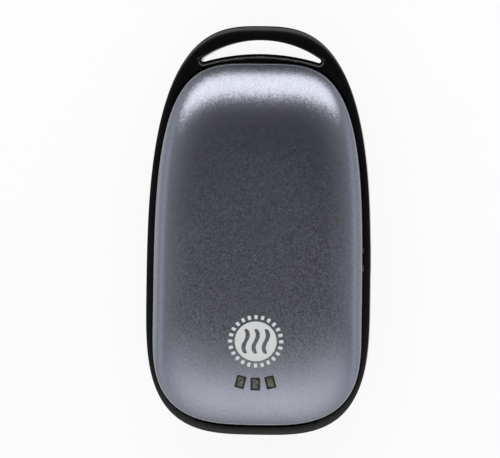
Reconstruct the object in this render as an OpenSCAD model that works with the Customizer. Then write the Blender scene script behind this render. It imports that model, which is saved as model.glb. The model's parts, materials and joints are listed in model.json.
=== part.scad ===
// Rechargeable hand warmer: two pillow-shaped metal covers on a plastic frame with a carrying loop.
// Millimetres. It lies on its back cover, with the loop at the +Y end and the front cover on top.

/* [Body] */
// Width of the body at its widest level
body_width = 60.3; // [54.2:0.1:66.4]
// Length of the body from its bottom end to the top of the loop
body_length = 110; // [99:0.5:122]
// Thickness over both covers
body_thickness = 26; // [23.4:0.1:30]
// Height of the frame's band between the two covers
band_height = 11; // [10.5:0.1:13]
// Distance from the bottom end to the widest level of the body
body_wide_level = 37.6; // [34:0.1:42]
// Squareness of the outline above the widest level
body_shoulder_power = 2.9; // [2.8:0.05:3.4]
// Squareness of the outline below the widest level
body_foot_power = 3.27; // [3.1:0.01:3.8]
// Width of the frame's rounded outer edges
edge_width = 2; // [1.2:0.1:2.4]
// Height of the frame's rounded outer edges
edge_drop = 0.5; // [0.3:0.05:0.8]
// Thickness of the frame at the end of the loop
loop_thickness = 10.4; // [9:0.1:10.5]

/* [Covers] */
// Width of the frame's rim beside a cover, with the gap
rim_side = 2; // [1.9:0.05:2.4]
// Width of the frame's rim below a cover, with the gap
rim_foot = 2.65; // [2.4:0.05:3.4]
// Distance from the lower end of a cover to its widest level
cover_wide_level = 26.3; // [24:0.1:30]
// Squareness of a cover above its widest level
cover_shoulder_power = 3.76; // [3.4:0.01:4]
// Squareness of a cover below its widest level
cover_foot_power = 3.1; // [2.9:0.05:3.4]
// Sheet thickness of the covers
cover_wall = 1; // [0.8:0.05:1.1]
// Gap between a cover and the frame's rim
cover_gap = 0.35; // [0.25:0.05:0.5]
// Depth to which a cover's skirt reaches into the frame
skirt_depth = 1.5; // [1:0.1:1.8]
// Share of a cover, from its middle outwards, that is flat
crown_flat = 0.35; // [0.33:0.01:0.4]
// Power of the crown, where a higher one has a tighter edge
crown_power = 6.7; // [6.3:0.1:8]
// Height of a cover's edge over the face of the frame
edge_lip = 1.4; // [1:0.1:1.8]
// Height of the rolled edge that ends the crown
edge_roll = 1.1; // [0.8:0.1:1.4]
// Share of a cover, from its middle outwards, at which the rolled edge starts
roll_start = 0.988; // [0.98:0.002:0.994]
// Levels of the tabs along each side of a cover
tab_levels = [35.7, -5, -9.8];
// Length of a tab
tab_length = 1.4; // [0.8:0.1:2]
// Height of a tab
tab_height = 0.5; // [0.3:0.1:0.8]
// Clearance between a tab and the rim
tab_clearance = 0.12; // [0.1:0.01:0.15]

/* [Loop] */
// Width of the loop's bar
bar_width = 3.9; // [3.5:0.1:4.6]
// Height of the slot at its middle
slot_height = 3.58; // [3.2:0.02:4.4]
// Width of the frame between the slot and the cover's gap
bridge_width = 2.22; // [2.1:0.02:3]
// Radius of the slot's upper edge
slot_upper_radius = 28; // [27:0.1:30]
// Radius of the slot's lower edge
slot_lower_radius = 54.5; // [50:0.5:62]
// Radius of the slot's two tips
slot_tip_round = 0.5; // [0.4:0.05:0.8]
// Radius of the edges round the slot
slot_edge_round = 1; // [0.5:0.1:1.1]

/* [Windows] */
// Width of each indicator window
window_width = 2.42; // [2:0.02:2.8]
// Length of each indicator window
window_length = 3.3; // [2.6:0.1:3.6]
// Distance between the middles of two windows
window_pitch = 4; // [3.4:0.1:4.4]
// Radius of the arc that the windows lie on
window_arc = 16; // [13:0.5:24]
// Distance from the bottom end to the middle window
window_level = 14; // [13.4:0.1:14.2]
// Clearance between a lens and its window
lens_clearance = 0.06; // [0.03:0.01:0.12]
// Depth of the lenses below the crown at the middle window
lens_recess = 0.35; // [0.2:0.05:0.6]

/* [Frame] */
// Width of the ledge under a cover, from the cover's edge inwards
ledge_width = 1.4; // [1.3:0.05:1.7]
// Thickness of the adhesive gasket between a cover and its ledge
gasket_thickness = 0.3; // [0.2:0.05:0.4]
// Thickness of the four lugs that the case screws clamp
lug_thickness = 1.6; // [1.2:0.1:2.2]
// Wall of a lug round its screw
lug_wall = 1.1; // [0.9:0.1:1.3]

/* [Chassis] */
// Distance from a cover's edge to the chassis plates at the sides
plate_side = 6.2; // [6:0.1:6.6]
// Distance from a cover's edge to the chassis plates at the ends
plate_end = 10.7; // [10.4:0.1:11.4]
// Gap between the edge of a chassis plate and the crown of its cover
plate_gap = 0.1; // [0.05:0.01:0.15]
// Thickness of the chassis plates
plate_thickness = 1.2; // [1:0.05:1.25]
// Diameter of the pillars that the case screws run through
pillar_diameter = 4; // [3.8:0.1:4.2]
// Distance from the upper ends of the cells to the upper pillars
upper_pillar_inset = 21.8; // [18:0.1:24]
// Distance from the lower ends of the cells to the lower pillars
lower_pillar_inset = 6.2; // [5.6:0.1:7]
// Gap between a pillar and the cells
pillar_gap = 0.5; // [0.3:0.05:0.7]
// Thickness of the cradle ribs under and over the cells
rib_thickness = 1.2; // [0.8:0.1:2]
// Distance from the ends of the cells to the outer cradle ribs
rib_inset = 7; // [6:0.5:12]
// Distance from the middle plane at which the cradle ribs end
rib_reach = 5; // [4.6:0.1:7]
// Clearance between the cells and their cradle ribs
cradle_clearance = 0.05; // [0.03:0.01:0.2]
// Length of the cells that stands out below the front plate
front_plate_foot = 1.3; // [0.5:0.1:1.6]

/* [Case screws] */
// Shank diameter of the case screws
screw_diameter = 2; // [1.8:0.05:2.1]
// Length of the case screws
screw_length = 18; // [16:0.5:20]
// Diameter of the countersunk heads
screw_head_diameter = 3.6; // [3.2:0.1:3.7]
// Height of the countersunk heads
screw_head_height = 1; // [0.8:0.1:1.2]
// Depth of the heads and their pillars below the crown over them
screw_head_sink = 0.1; // [0.05:0.01:0.2]
// Radial clearance of the shanks in the back plate and the lugs
screw_clearance = 0.1; // [0.05:0.01:0.2]
// Radial clearance of the threads in the front plate
thread_clearance = 0.02; // [0.01:0.01:0.04]

/* [Heaters] */
// Length of each heater film
film_length = 42; // [38:1:43]
// Width of each heater film
film_width = 28; // [26:0.5:29]
// Thickness of the heater films
film_thickness = 0.2; // [0.15:0.01:0.25]
// Gap between the corners of a heater film and the crown of its cover
film_gap = 0.02; // [0.02:0.01:0.1]
// Margin of the foam pads inside the edges of the films
foam_margin = 1.5; // [1:0.5:3]
// Width of the tail that a film is soldered at
tail_width = 6; // [5:0.5:6]
// Distance from the lower ends of the cells to the end of the tail that a film is soldered at
tail_reach = 3.5; // [3.2:0.1:3.9]
// Distance of a tail from the centre line
tail_offset = 11; // [10.6:0.1:11.3]
// Side of the square temperature sensor on each film
sensor_side = 2; // [1.2:0.1:3]
// Height of the temperature sensors
sensor_height = 0.35; // [0.25:0.05:0.35]

/* [Cells] */
// Distance from the cells to the sides of the body at its widest level
cell_side_room = 11.85; // [11.8:0.05:13]
// Gap between the cells and the chassis plates
cell_lift = 0.22; // [0.2:0.01:0.3]
// Room between the upper ends of the cells and the frame's wall
cell_end_room = 7.75; // [7:0.05:8.6]
// Gap between the two cells
cell_gap = 0.2; // [0.1:0.05:0.3]
// Diameter of the cells' positive caps
cap_diameter = 5.6; // [5:0.1:6.5]
// Height of the cells' positive caps
cap_height = 0.6; // [0.5:0.05:0.9]
// Thickness of the nickel strips
strip_thickness = 0.15; // [0.1:0.01:0.2]
// Width of the nickel strips
strip_width = 5; // [4:0.5:5.5]
// Thickness of the insulating washers round the positive caps
washer_thickness = 0.3; // [0.2:0.05:0.4]
// Height of the end foam blocks
end_foam_height = 10; // [6:0.5:12]
// Width of the end foam blocks
end_foam_width = 8; // [6:0.5:8.5]
// Clearance of the end foam blocks to the cells and to the frame
end_foam_clearance = 0.2; // [0.1:0.05:0.3]

/* [Main board] */
// Thickness of the main board
board_thickness = 1.6; // [1:0.1:1.6]
// Length of the main board along the body
board_length = 18.5; // [18.3:0.1:19]
// Distance between the main board and the frame's wall
board_margin = 1.3; // [1.1:0.1:1.6]
// Distance between the main board and the cells
board_cell_gap = 1.95; // [1.8:0.05:2.2]
// Diameter of the posts that carry the main board
post_diameter = 4; // [3.8:0.1:4.2]
// Distance across the body from the pillars to the posts
post_step = 3.3; // [3.1:0.1:3.6]
// Distance from the board's back edge to its posts
post_inset = 2.4; // [2.2:0.1:2.8]
// Length of the board screws under their heads
board_screw_length = 5; // [4:0.5:5.5]
// Height of the board screws' heads
board_screw_head = 1.2; // [1:0.1:1.4]

/* [Output socket] */
// Width of the output socket
output_width = 13.1; // [13:0.1:13.4]
// Height of the output socket
output_height = 5.7; // [5.6:0.1:6]
// Length of the output socket
output_length = 14; // [13.6:0.1:14.4]
// Distance of the output socket from the centre line, to the left
output_offset = 7.5; // [7.5:0.1:7.8]
// Length of the free part of its tongue
output_tongue_length = 8.4; // [7:0.1:9]
// Thickness of its tongue
output_tongue = 1.84; // [1.6:0.02:2]
// Gap between its tongue and the shell above and beside it
output_tongue_gap = 0.7; // [0.6:0.05:0.9]
// Width of its four contacts
contact_width = 1; // [0.6:0.1:1.4]
// Distance between two of its contacts
contact_pitch = 2.3; // [2:0.1:2.5]
// Thickness of its contacts
contact_thickness = 0.15; // [0.1:0.01:0.25]
// Wall of the sockets' metal shells
socket_wall = 0.3; // [0.2:0.05:0.4]
// Clearance round the sockets in the frame
socket_clearance = 0.15; // [0.1:0.05:0.3]
// Depth of the tongues behind the sockets' mouths
tongue_recess = 1.1; // [0.8:0.1:1.4]
// Depth of the sockets' mouths behind the bottom end of the body
port_recess = 1.3; // [1.3:0.1:1.8]

/* [Charging socket] */
// Width of the charging socket
charge_width = 7.6; // [7.4:0.1:8]
// Height of the charging socket
charge_height = 2.8; // [2.6:0.1:3.2]
// Length of the charging socket
charge_length = 5.6; // [5:0.1:6]
// Distance of the charging socket from the centre line, to the right
charge_offset = 9.5; // [9:0.1:9.8]
// Width of its tongue
charge_tongue_width = 3.8; // [3.4:0.1:4.4]
// Thickness of its tongue
charge_tongue = 0.6; // [0.5:0.05:0.8]
// Length of the block that its tongue stands in
charge_root = 1.2; // [0.8:0.1:1.6]

/* [Board parts] */
// Side of the square power inductor
inductor_side = 7.3; // [6.6:0.1:7.3]
// Height of the power inductor
inductor_height = 4.2; // [3:0.1:4.8]
// Length and width of the control chip
control_chip = [10, 6];
// Length and width of the charge chip
charge_chip = [5, 4];
// Height of the chips
chip_height = 1.6; // [1:0.1:1.8]
// Diameter of the two capacitors
capacitor_diameter = 4; // [3:0.5:4]
// Height of the two capacitors
capacitor_height = 5.4; // [4:0.1:6]

/* [Indicators] */
// Length of the indicator board across the body
indicator_length = 16; // [14:0.5:16.5]
// Width of the indicator board
indicator_width = 7; // [6:0.1:7.2]
// Thickness of the indicator board
indicator_thickness = 0.8; // [0.6:0.1:1]
// Length of an indicator LED
led_length = 2; // [1.6:0.1:2.2]
// Width of an indicator LED
led_width = 1.25; // [0.8:0.05:1.6]
// Height of an indicator LED
led_height = 0.7; // [0.4:0.05:0.8]
// Thickness of the light guide's web
web_thickness = 0.8; // [0.6:0.05:0.9]
// Gap between the LEDs and the light guide
web_gap = 0.3; // [0.2:0.05:0.4]
// Width of the light guide's web along the body
web_width = 4.6; // [4.2:0.1:4.8]
// Room between the corners of the light guide's web and the crown of the cover
web_room = 0.25; // [0.15:0.05:0.4]
// Clearance between the indicator board and its holder
holder_clearance = 0.1; // [0.05:0.01:0.15]
// Wall of the indicator holder
holder_wall = 0.8; // [0.6:0.1:1]
// Distance between the middles of the holder's two feet
foot_pitch = 17; // [16.8:0.1:17.4]
// Width of the holder's feet along the body
foot_width = 3; // [2:0.5:3]

/* [Power button] */
// Length of the power button along the body
button_length = 9; // [7:0.1:10]
// Height of the power button
button_height = 4.2; // [3.4:0.1:4.6]
// Distance of the power button's middle from the middle of the body, towards the bottom
button_offset = 6.9; // [6:0.1:8]
// Depth of the button's face behind the frame's widest level
button_recess = 0.2; // [0.1:0.05:0.4]
// Clearance round the button
button_clearance = 0.15; // [0.1:0.01:0.25]
// Height of the button's inner flange beyond its cap
flange_border = 0.8; // [0.5:0.1:1]
// Thickness of the button's inner flange
flange_thickness = 0.8; // [0.6:0.1:1]
// Gap between the flange and the frame's wall
flange_gap = 0.15; // [0.1:0.01:0.2]

/* [Push switch] */
// Side of the push switch's square body
switch_side = 6; // [5:0.1:6.2]
// Depth of the push switch's body
switch_depth = 3.5; // [3:0.1:3.6]
// Diameter of the plunger
plunger_diameter = 3.4; // [3:0.1:3.5]
// Clearance of the plunger in the switch body
plunger_clearance = 0.05; // [0.03:0.01:0.1]
// Length of the plunger that stands out of the switch body
plunger_reach = 1.2; // [1:0.1:1.3]
// Length of the plunger inside the switch body
plunger_hold = 0.8; // [0.6:0.1:1.2]
// Room behind the plunger for its travel
plunger_room = 0.6; // [0.5:0.05:0.8]
// Length of the switch board along the body
switch_board_length = 12; // [10:0.5:13]
// Height of the switch board
switch_board_height = 10; // [9:0.5:11]
// Thickness of the switch board
switch_board_thickness = 0.8; // [0.6:0.1:1]
// Thickness of the bracket that backs the switch board
bracket_thickness = 1; // [0.8:0.1:1.1]
// Gap between the bracket and the cells
bracket_gap = 0.4; // [0.3:0.05:0.5]

/* [Leads] */
// Diameter of the two battery leads
battery_lead = 1.4; // [1.2:0.1:1.5]
// Diameter of the heater and switch leads
thin_lead = 0.8; // [0.6:0.1:0.9]
// Distance between two leads of a pair
lead_pitch = 1.4; // [1.2:0.1:1.6]

/* [Hidden] */

$fn = 48;
metal_grey = [0.47, 0.48, 0.52];
frame_black = [0.07, 0.07, 0.075];
board_green = [0.08, 0.3, 0.16];
foam_grey = [0.35, 0.36, 0.38];
steel = [0.72, 0.73, 0.75];
copper = [0.8, 0.5, 0.25];

outline_steps = 80;
crown_steps = 8;
roll_steps = 3;
share_steps = 14;
round_steps = 4;
arc_steps = 16;
tip_steps = 4;
lead_sides = 8;
lead_steps = 3;
overshoot = 1;

mid_z = body_thickness / 2;
band_low = mid_z - band_height / 2;
band_top = mid_z + band_height / 2;
crown_rise = body_thickness / 2 - band_height / 2;
crown_fall = crown_rise - edge_lip - edge_roll;
body_half = body_width / 2;
body_foot = -body_length / 2;
body_top = body_length / 2;
body_wide = body_foot + body_wide_level;

slot_top = body_top - bar_width;
slot_low = slot_top - slot_height;
upper_centre = slot_top - slot_upper_radius;
lower_centre = slot_low - slot_lower_radius;
upper_run = slot_upper_radius - slot_tip_round;
lower_run = slot_lower_radius + slot_tip_round;
tip_rise = (pow(lower_run, 2) - pow(upper_run, 2)) / (upper_centre - lower_centre);
tip_y = (tip_rise + upper_centre + lower_centre) / 2;
tip_x = sqrt(pow(upper_run, 2) - pow(tip_y - upper_centre, 2));

cover_half = body_half - rim_side;
cover_foot = body_foot + rim_foot;
cover_top = slot_low - bridge_width - cover_gap;
cover_wide = cover_foot + cover_wide_level;
cover_mid = (cover_foot + cover_top) / 2;
skirt_end = band_top - skirt_depth;
ledge_top = skirt_end - gasket_thickness;
wall_foot = cover_foot + ledge_width;

window_y = body_foot + window_level;
window_angle = asin(window_pitch / window_arc);

board_foot = wall_foot + board_margin;
board_back = board_foot + board_length;
cell_foot = board_back + board_cell_gap;
cell_top = cover_top - ledge_width - cell_end_room;
cell_length = cell_top - cell_foot;
film_foot = cover_mid - film_length / 2;
tail_foot = cell_foot - tail_reach;
tail_joint = 3;
tail_slot = tail_joint + 3.5;

tail_drop = crown_drop(tail_offset + tail_width / 2, tail_foot - cover_mid);
film_face = cover_wall + max(crown_drop(film_width / 2, film_length / 2), tail_drop) + film_gap;
foam_face = film_face + film_thickness;
plate_drop = max([for (p = plate_outline()) crown_drop(abs(p.x), p.y - cover_mid)]);
plate_face = cover_wall + plate_drop + plate_gap;
foam_thickness = plate_face - foam_face;
plate_inner = plate_face + plate_thickness;

cell_diameter = min(body_half - cell_side_room - cell_gap / 2, 2 * (mid_z - plate_inner - cell_lift));
cell_x = cell_diameter / 2 + cell_gap / 2;
cell_side = cell_x + cell_diameter / 2;
pillar_x = cell_side + pillar_gap + pillar_diameter / 2;
pillar_levels = [cell_top - upper_pillar_inset, cell_foot + lower_pillar_inset];
pillar_drop = max([for (y = pillar_levels, p = circle_points(pillar_diameter / 2))
    crown_drop(pillar_x + p.x, y + p.y - cover_mid)]);
head_seat = cover_wall + pillar_drop + screw_head_sink;
lug_radius = screw_diameter / 2 + lug_wall;
lug_low = mid_z - lug_thickness / 2;
lug_high = mid_z + lug_thickness / 2;
rib_levels = [cell_foot + rib_inset, (cell_foot + cell_top) / 2, cell_top - rib_inset];

board_top = mid_z - output_height / 2;
board_low = board_top - board_thickness;
port_y = body_foot + port_recess;
post_offset = pillar_x - post_step;
post_y = board_back - post_inset;
output_x = -output_offset;
charge_x = charge_offset;
output_root = port_y + output_length - socket_wall;
output_lip = port_y + tongue_recess;
output_tongue_top = board_top + output_height - socket_wall - output_tongue_gap;
output_tongue_low = output_tongue_top - output_tongue;
charge_back = port_y + charge_length - socket_wall;
inductor_x = 8.5;
inductor_y = board_back - 0.8 - inductor_side / 2;
control_chip_x = -4.5;
control_chip_y = port_y + output_length + 1.35 + control_chip.y / 2;
charge_chip_x = charge_x + charge_width / 2 + 1.2 + charge_chip.x / 2;
charge_chip_y = board_foot + 9.6;
capacitor_x = output_x - output_width / 2 - 1.95 - capacitor_diameter / 2;
capacitor_y = post_y - 5;
capacitor_pitch = capacitor_diameter + 0.4;

web_length = indicator_length + 2 * holder_clearance + 2 * holder_wall;
web_drop = crown_drop(web_length / 2, window_y - web_width / 2 - cover_mid);
web_low = body_thickness - cover_wall - web_drop - web_room - web_thickness;
indicator_top = web_low - web_gap - led_height;
holder_low = indicator_top - indicator_thickness - holder_wall;

button_y = -button_offset;
button_face = body_half - button_recess;
bracket_x = cell_side + bracket_gap;
switch_board_x = bracket_x + bracket_thickness;
switch_x = switch_board_x + switch_board_thickness;
switch_front = switch_x + switch_depth;
plunger_tip = switch_front + plunger_reach;

// Point of a superellipse with half axes a and b, in the direction t
function lobe(t, a, b, power) =
    let (c = cos(t), s = sin(t), r = pow(pow(abs(c), power) + pow(abs(s), power), -1 / power))
    [a * c * r, b * s * r];

// Egg-shaped outline of two superellipse halves that meet at the widest level
function egg(half, foot, top, wide, foot_power, shoulder_power) =
    [for (i = [0:outline_steps - 1])
        let (t = 360 * i / outline_steps,
             p = t < 180
                 ? lobe(t, half, top - wide, shoulder_power)
                 : lobe(t, half, wide - foot, foot_power))
        [p.x, p.y + wide]];

function body_outline(inset = 0) =
    egg(body_half - inset, body_foot + inset, body_top - inset, body_wide,
        body_foot_power, body_shoulder_power);

function cover_outline(inset = 0) =
    egg(cover_half - inset, cover_foot + inset, cover_top - inset, cover_wide,
        cover_foot_power, cover_shoulder_power);

function circle_points(r) = [for (k = [0:lead_sides - 1]) let (a = 360 * k / lead_sides) r * [cos(a), sin(a)]];

function plate_outline() =
    egg(cover_half - plate_side, cover_foot + plate_end, cover_top - plate_end, cover_wide,
        cover_foot_power, cover_shoulder_power);

// Half width of the cover's outline at the level y
function cover_reach(y, inset = 0) =
    let (above = y > cover_wide, power = above ? cover_shoulder_power : cover_foot_power,
         span = above ? cover_top - inset - cover_wide : cover_wide - cover_foot - inset)
    (cover_half - inset) * pow(1 - pow(abs(y - cover_wide) / span, power), 1 / power);

// Depth of the crown below its flat middle at the share t of its outline, where 1 is its edge
function crown_depth(t) =
    let (bend = max(0, (t - roll_start) / (1 - roll_start)))
    crown_fall * max(0, pow(t, crown_power) - pow(crown_flat, crown_power))
        + edge_roll * (1 - sqrt(1 - bend * bend));

// Height of the front cover's outside on the centre line at the level y
function crown_height(y) = body_thickness - crown_depth(abs(y - cover_mid) / (cover_top - cover_mid));

// Whether the point x, cover_mid + y lies outside the cover's inner outline, drawn in by the share t
function outside(x, y, t) =
    let (level = cover_mid + y / t)
    level > cover_top - cover_wall || level < cover_foot + cover_wall || x / t > cover_reach(level, cover_wall);

// Share by which the inner outline is drawn in where it runs through the point x, cover_mid + y
function crown_share(x, y, low = 0, high = 1, turns = share_steps) =
    let (t = (low + high) / 2)
    turns == 0 ? t
        : outside(x, y, t) ? crown_share(x, y, t, high, turns - 1)
        : crown_share(x, y, low, t, turns - 1);

// Depth of the crown's inside, at the point x, cover_mid + y, below its flat middle
function crown_drop(x, y) = crown_depth(crown_share(x, y));

// The outline drawn in towards the cover's middle by the share t, at the height z
function ring(outline, t, z) = [for (p = outline) [t * p.x, cover_mid + t * (p.y - cover_mid), z]];

// Shares of a crown's rings, from its flat middle to its edge
function crown_shares() = concat(
    [for (k = [0:crown_steps]) crown_flat + (roll_start - crown_flat) * sin(90 * k / crown_steps)],
    [for (k = [1:roll_steps]) roll_start + (1 - roll_start) * sin(90 * k / roll_steps)]);

// A cover's inside from the middle outwards, its skirt's end, and its outside back to the middle
function cover_rings() =
    let (inner = cover_outline(cover_wall), outer = cover_outline(), shares = crown_shares(),
         last = len(shares) - 1)
    concat(
        [for (t = shares) ring(inner, t, body_thickness - cover_wall - crown_depth(t))],
        [ring(inner, 1, skirt_end), ring(outer, 1, skirt_end)],
        [for (k = [last:-1:0]) ring(outer, shares[k], body_thickness - crown_depth(shares[k]))]);

// Share of the band's height that is left at the level y, where the loop slims towards its end
function slim(y) =
    let (start = cover_top + cover_gap, v = min(1, max(0, (y - start) / (body_top - start))))
    1 - (1 - loop_thickness / band_height) * pow(v, 3);

// A ring of the frame's outside, k steps along the rounding of its edge, below (side -1) or above (1)
function frame_ring(k, side) =
    let (a = 90 * k / round_steps, out = band_height / 2 - edge_drop * (1 - cos(a)))
    [for (p = body_outline(edge_width * (1 - sin(a)))) [p.x, p.y, mid_z + side * out * slim(p.y)]];

function frame_rings() = concat(
    [for (k = [0:round_steps]) frame_ring(k, -1)],
    [for (k = [round_steps:-1:0]) frame_ring(k, 1)]);

// Outline of the loop's slot grown by e: an upper arc, a round tip, a lower arc and the other tip
function slot_outline(e) =
    let (upper = atan2(tip_y - upper_centre, tip_x), lower = atan2(tip_y - lower_centre, tip_x),
         sweep = 180 - lower + upper, upper_r = slot_upper_radius + e, lower_r = slot_lower_radius - e,
         tip_r = slot_tip_round + e)
    concat(
        [for (k = [0:arc_steps]) let (a = upper + (180 - 2 * upper) * k / arc_steps)
            [upper_r * cos(a), upper_centre + upper_r * sin(a)]],
        [for (k = [1:tip_steps - 1]) let (a = 180 - upper + sweep * k / tip_steps)
            [-tip_x + tip_r * cos(a), tip_y + tip_r * sin(a)]],
        [for (k = [0:arc_steps]) let (a = 180 - lower - (180 - 2 * lower) * k / arc_steps)
            [lower_r * cos(a), lower_centre + lower_r * sin(a)]],
        [for (k = [1:tip_steps - 1]) let (a = 180 + lower + sweep * k / tip_steps)
            [tip_x + tip_r * cos(a), tip_y + tip_r * sin(a)]]);

function slot_ring(k, side) =
    let (a = 90 * k / round_steps, out = band_height / 2 - slot_edge_round * (1 - cos(a)))
    [for (p = slot_outline(slot_edge_round * (1 - sin(a)))) [p.x, p.y, mid_z + side * out * slim(p.y)]];

function slot_rings() =
    let (wide = slot_outline(slot_edge_round))
    concat(
        [[for (p = wide) [p.x, p.y, band_low - overshoot]]],
        [for (k = [0:round_steps]) slot_ring(k, -1)],
        [for (k = [round_steps:-1:0]) slot_ring(k, 1)],
        [[for (p = wide) [p.x, p.y, band_top + overshoot]]]);

function unit(v) = v / norm(v);

// Point between b and c, at the share s, on a smooth route that comes from a and goes on to d
function between(a, b, c, d, s) =
    0.5 * (2 * b + (c - a) * s + (2 * a - 5 * b + 4 * c - d) * s * s
        + (3 * b - a - 3 * c + d) * s * s * s);

// Smooth route through a lead's own points
function smooth_route(p) = concat(
    [for (i = [0:len(p) - 2], k = [0:lead_steps - 1])
        between(p[max(0, i - 1)], p[i], p[i + 1], p[min(len(p) - 1, i + 2)], k / lead_steps)],
    [p[len(p) - 1]]);

// Two triangles for each field of the mantle between two rings of a skin
function mantle(count, rings) = [for (r = [0:rings - 2], i = [0:count - 1], half = [0, 1])
    let (j = (i + 1) % count, a = r * count, b = a + count)
    half == 0 ? [a + i, b + i, b + j] : [a + i, b + j, a + j]];

// Triangles across an end, between points of one level, whose heights may differ from level to level
function end_strips(count, first, flip) =
    [for (half = [0, 1], i = [0:count / 4 - 1], part = [0, 1])
        let (turn = half == 0 ? 1 : -1,
             r0 = (count + turn * i) % count, r1 = (count + turn * (i + 1)) % count,
             l0 = (count / 2 - turn * i + count) % count, l1 = (count / 2 - turn * (i + 1) + count) % count,
             tri = part == 0 ? [r0, r1, l0] : [r1, l1, l0],
             ccw = half == 0 ? tri : [tri[2], tri[1], tri[0]])
        if (tri[0] != tri[1] && tri[1] != tri[2] && tri[0] != tri[2])
        [for (v = flip ? [ccw[2], ccw[1], ccw[0]] : ccw) v + first]];

// Closed surface through rings of points, which turn counter-clockwise about the way from first to last
module skin(rings, strips = false) {
    count = len(rings[0]);
    last = (len(rings) - 1) * count;
    ends = strips
        ? concat(end_strips(count, 0, false), end_strips(count, last, true))
        : [[for (i = [0:count - 1]) i], [for (i = [count - 1:-1:0]) last + i]];
    polyhedron(points = [for (r = rings) each r], faces = concat(mantle(count, len(rings)), ends));
}

// Round lead along its route; side is a direction that the route never runs in
module lead(points, diameter, side) {
    route = smooth_route(points);
    last = len(route) - 1;
    skin([for (i = [0:last])
        let (t = unit(route[min(last, i + 1)] - route[max(0, i - 1)]),
             n = unit(side - (side * t) * t), m = cross(t, n))
        [for (k = [0:lead_sides - 1]) let (a = 360 * (k + 0.5) / lead_sides)
            route[i] + diameter / 2 * (cos(a) * n + sin(a) * m)]]);
}

// Box by its low and high corners
module block(low, high) {
    translate(low) cube(high - low);
}

// Box that stands at the height z, with its middle at x and y
module slab(x, y, z, size) {
    translate([x - size.x / 2, y - size.y / 2, z]) cube(size);
}

// Turns a shape over, so that what fits at the back cover fits at the front cover
module turned_over() {
    translate([0, 0, body_thickness]) mirror([0, 0, 1]) children();
}

module both_sides() {
    children();
    mirror([1, 0, 0]) children();
}

module window_places() {
    for (i = [-1:1])
        translate([0, window_y + window_arc, 0]) rotate(i * window_angle)
            translate([0, -window_arc, 0]) children();
}

module pillar_places() {
    both_sides() for (y = pillar_levels) translate([pillar_x, y, 0]) children();
}

module cover_tabs() {
    proud = cover_gap - tab_clearance;
    nudge = 0.1;
    both_sides() for (y = tab_levels)
        translate([cover_reach(y), y, (skirt_end + band_top) / 2])
            rotate(atan2(cover_reach(y - nudge) - cover_reach(y + nudge), 2 * nudge))
                translate([-cover_wall / 2, -tab_length / 2, -tab_height / 2])
                    cube([cover_wall / 2 + proud, tab_length, tab_height]);
}

module cover_blank() {
    skin(cover_rings());
    cover_tabs();
}

module front_cover() {
    color(metal_grey) difference() {
        cover_blank();
        window_places() translate([0, 0, band_top]) linear_extrude(crown_rise + overshoot)
            square([window_width, window_length], center = true);
    }
}

module back_cover() {
    color(metal_grey) turned_over() cover_blank();
}

module front_gasket() {
    color(foam_grey) translate([0, 0, ledge_top]) linear_extrude(gasket_thickness) difference() {
        polygon(cover_outline());
        polygon(cover_outline(cover_wall));
    }
}

module back_gasket() {
    color(foam_grey) turned_over() front_gasket();
}

// Stadium-shaped bar along X, from x = 0 to its length, lying along Y
module stadium_bar(length, long, high) {
    rotate([90, 0, 90]) linear_extrude(length) {
        square([long - high, high], center = true);
        for (side = [-1, 1]) translate([side * (long - high) / 2, 0]) circle(d = high);
    }
}

module cover_pocket() {
    translate([0, 0, ledge_top]) linear_extrude(band_top - ledge_top + overshoot)
        polygon(cover_outline(-cover_gap));
}

module frame_lug(y) {
    translate([pillar_x, y, lug_low]) {
        cylinder(r = lug_radius, h = lug_thickness);
        translate([0, -lug_radius, 0])
            cube([cover_reach(y, ledge_width / 2) - pillar_x, 2 * lug_radius, lug_thickness]);
    }
}

module mid_frame() {
    color(frame_black) difference() {
        union() {
            difference() {
                skin(frame_rings(), strips = true);
                translate([0, 0, -overshoot]) linear_extrude(body_thickness + 2 * overshoot)
                    polygon(cover_outline(ledge_width));
                cover_pocket();
                turned_over() cover_pocket();
                skin(slot_rings());
            }
            both_sides() for (y = pillar_levels) frame_lug(y);
        }
        pillar_places() translate([0, 0, lug_low - overshoot])
            cylinder(d = screw_diameter + 2 * screw_clearance, h = lug_thickness + 2 * overshoot);
        translate([cover_reach(button_y, ledge_width) - overshoot, button_y, mid_z])
            stadium_bar(body_half, button_length + 2 * button_clearance,
                button_height + 2 * button_clearance);
        socket_hole(output_x, output_width, output_height, output_length);
        socket_hole(charge_x, charge_width, charge_height, charge_length);
    }
}

// Hole through the frame's lower wall round a socket that stands on the main board
module socket_hole(x, width, height, length) {
    half = width / 2 + socket_clearance;
    block([x - half, body_foot - overshoot, board_top - socket_clearance],
        [x + half, port_y + length, board_top + height + socket_clearance]);
}

// What the two chassis halves share, drawn for the back one: plate, pillars and cradle ribs
module chassis_half() {
    translate([0, 0, plate_face]) linear_extrude(plate_thickness) polygon(plate_outline());
    pillar_places() translate([0, 0, head_seat]) cylinder(d = pillar_diameter, h = lug_low - head_seat);
    difference() {
        intersection() {
            translate([0, 0, plate_face]) linear_extrude(mid_z) polygon(plate_outline());
            for (y = rib_levels)
                block([-cell_side, y - rib_thickness / 2, plate_face],
                    [cell_side, y + rib_thickness / 2, mid_z - rib_reach]);
        }
        both_sides() translate([cell_x, cell_foot - overshoot, mid_z]) rotate([-90, 0, 0])
            cylinder(r = cell_diameter / 2 + cradle_clearance, h = cell_length + 2 * overshoot);
    }
}

module switch_bracket() {
    block([bracket_x, button_y - switch_board_length / 2, plate_face],
        [switch_board_x, button_y + switch_board_length / 2, mid_z + switch_side / 2]);
}

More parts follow.
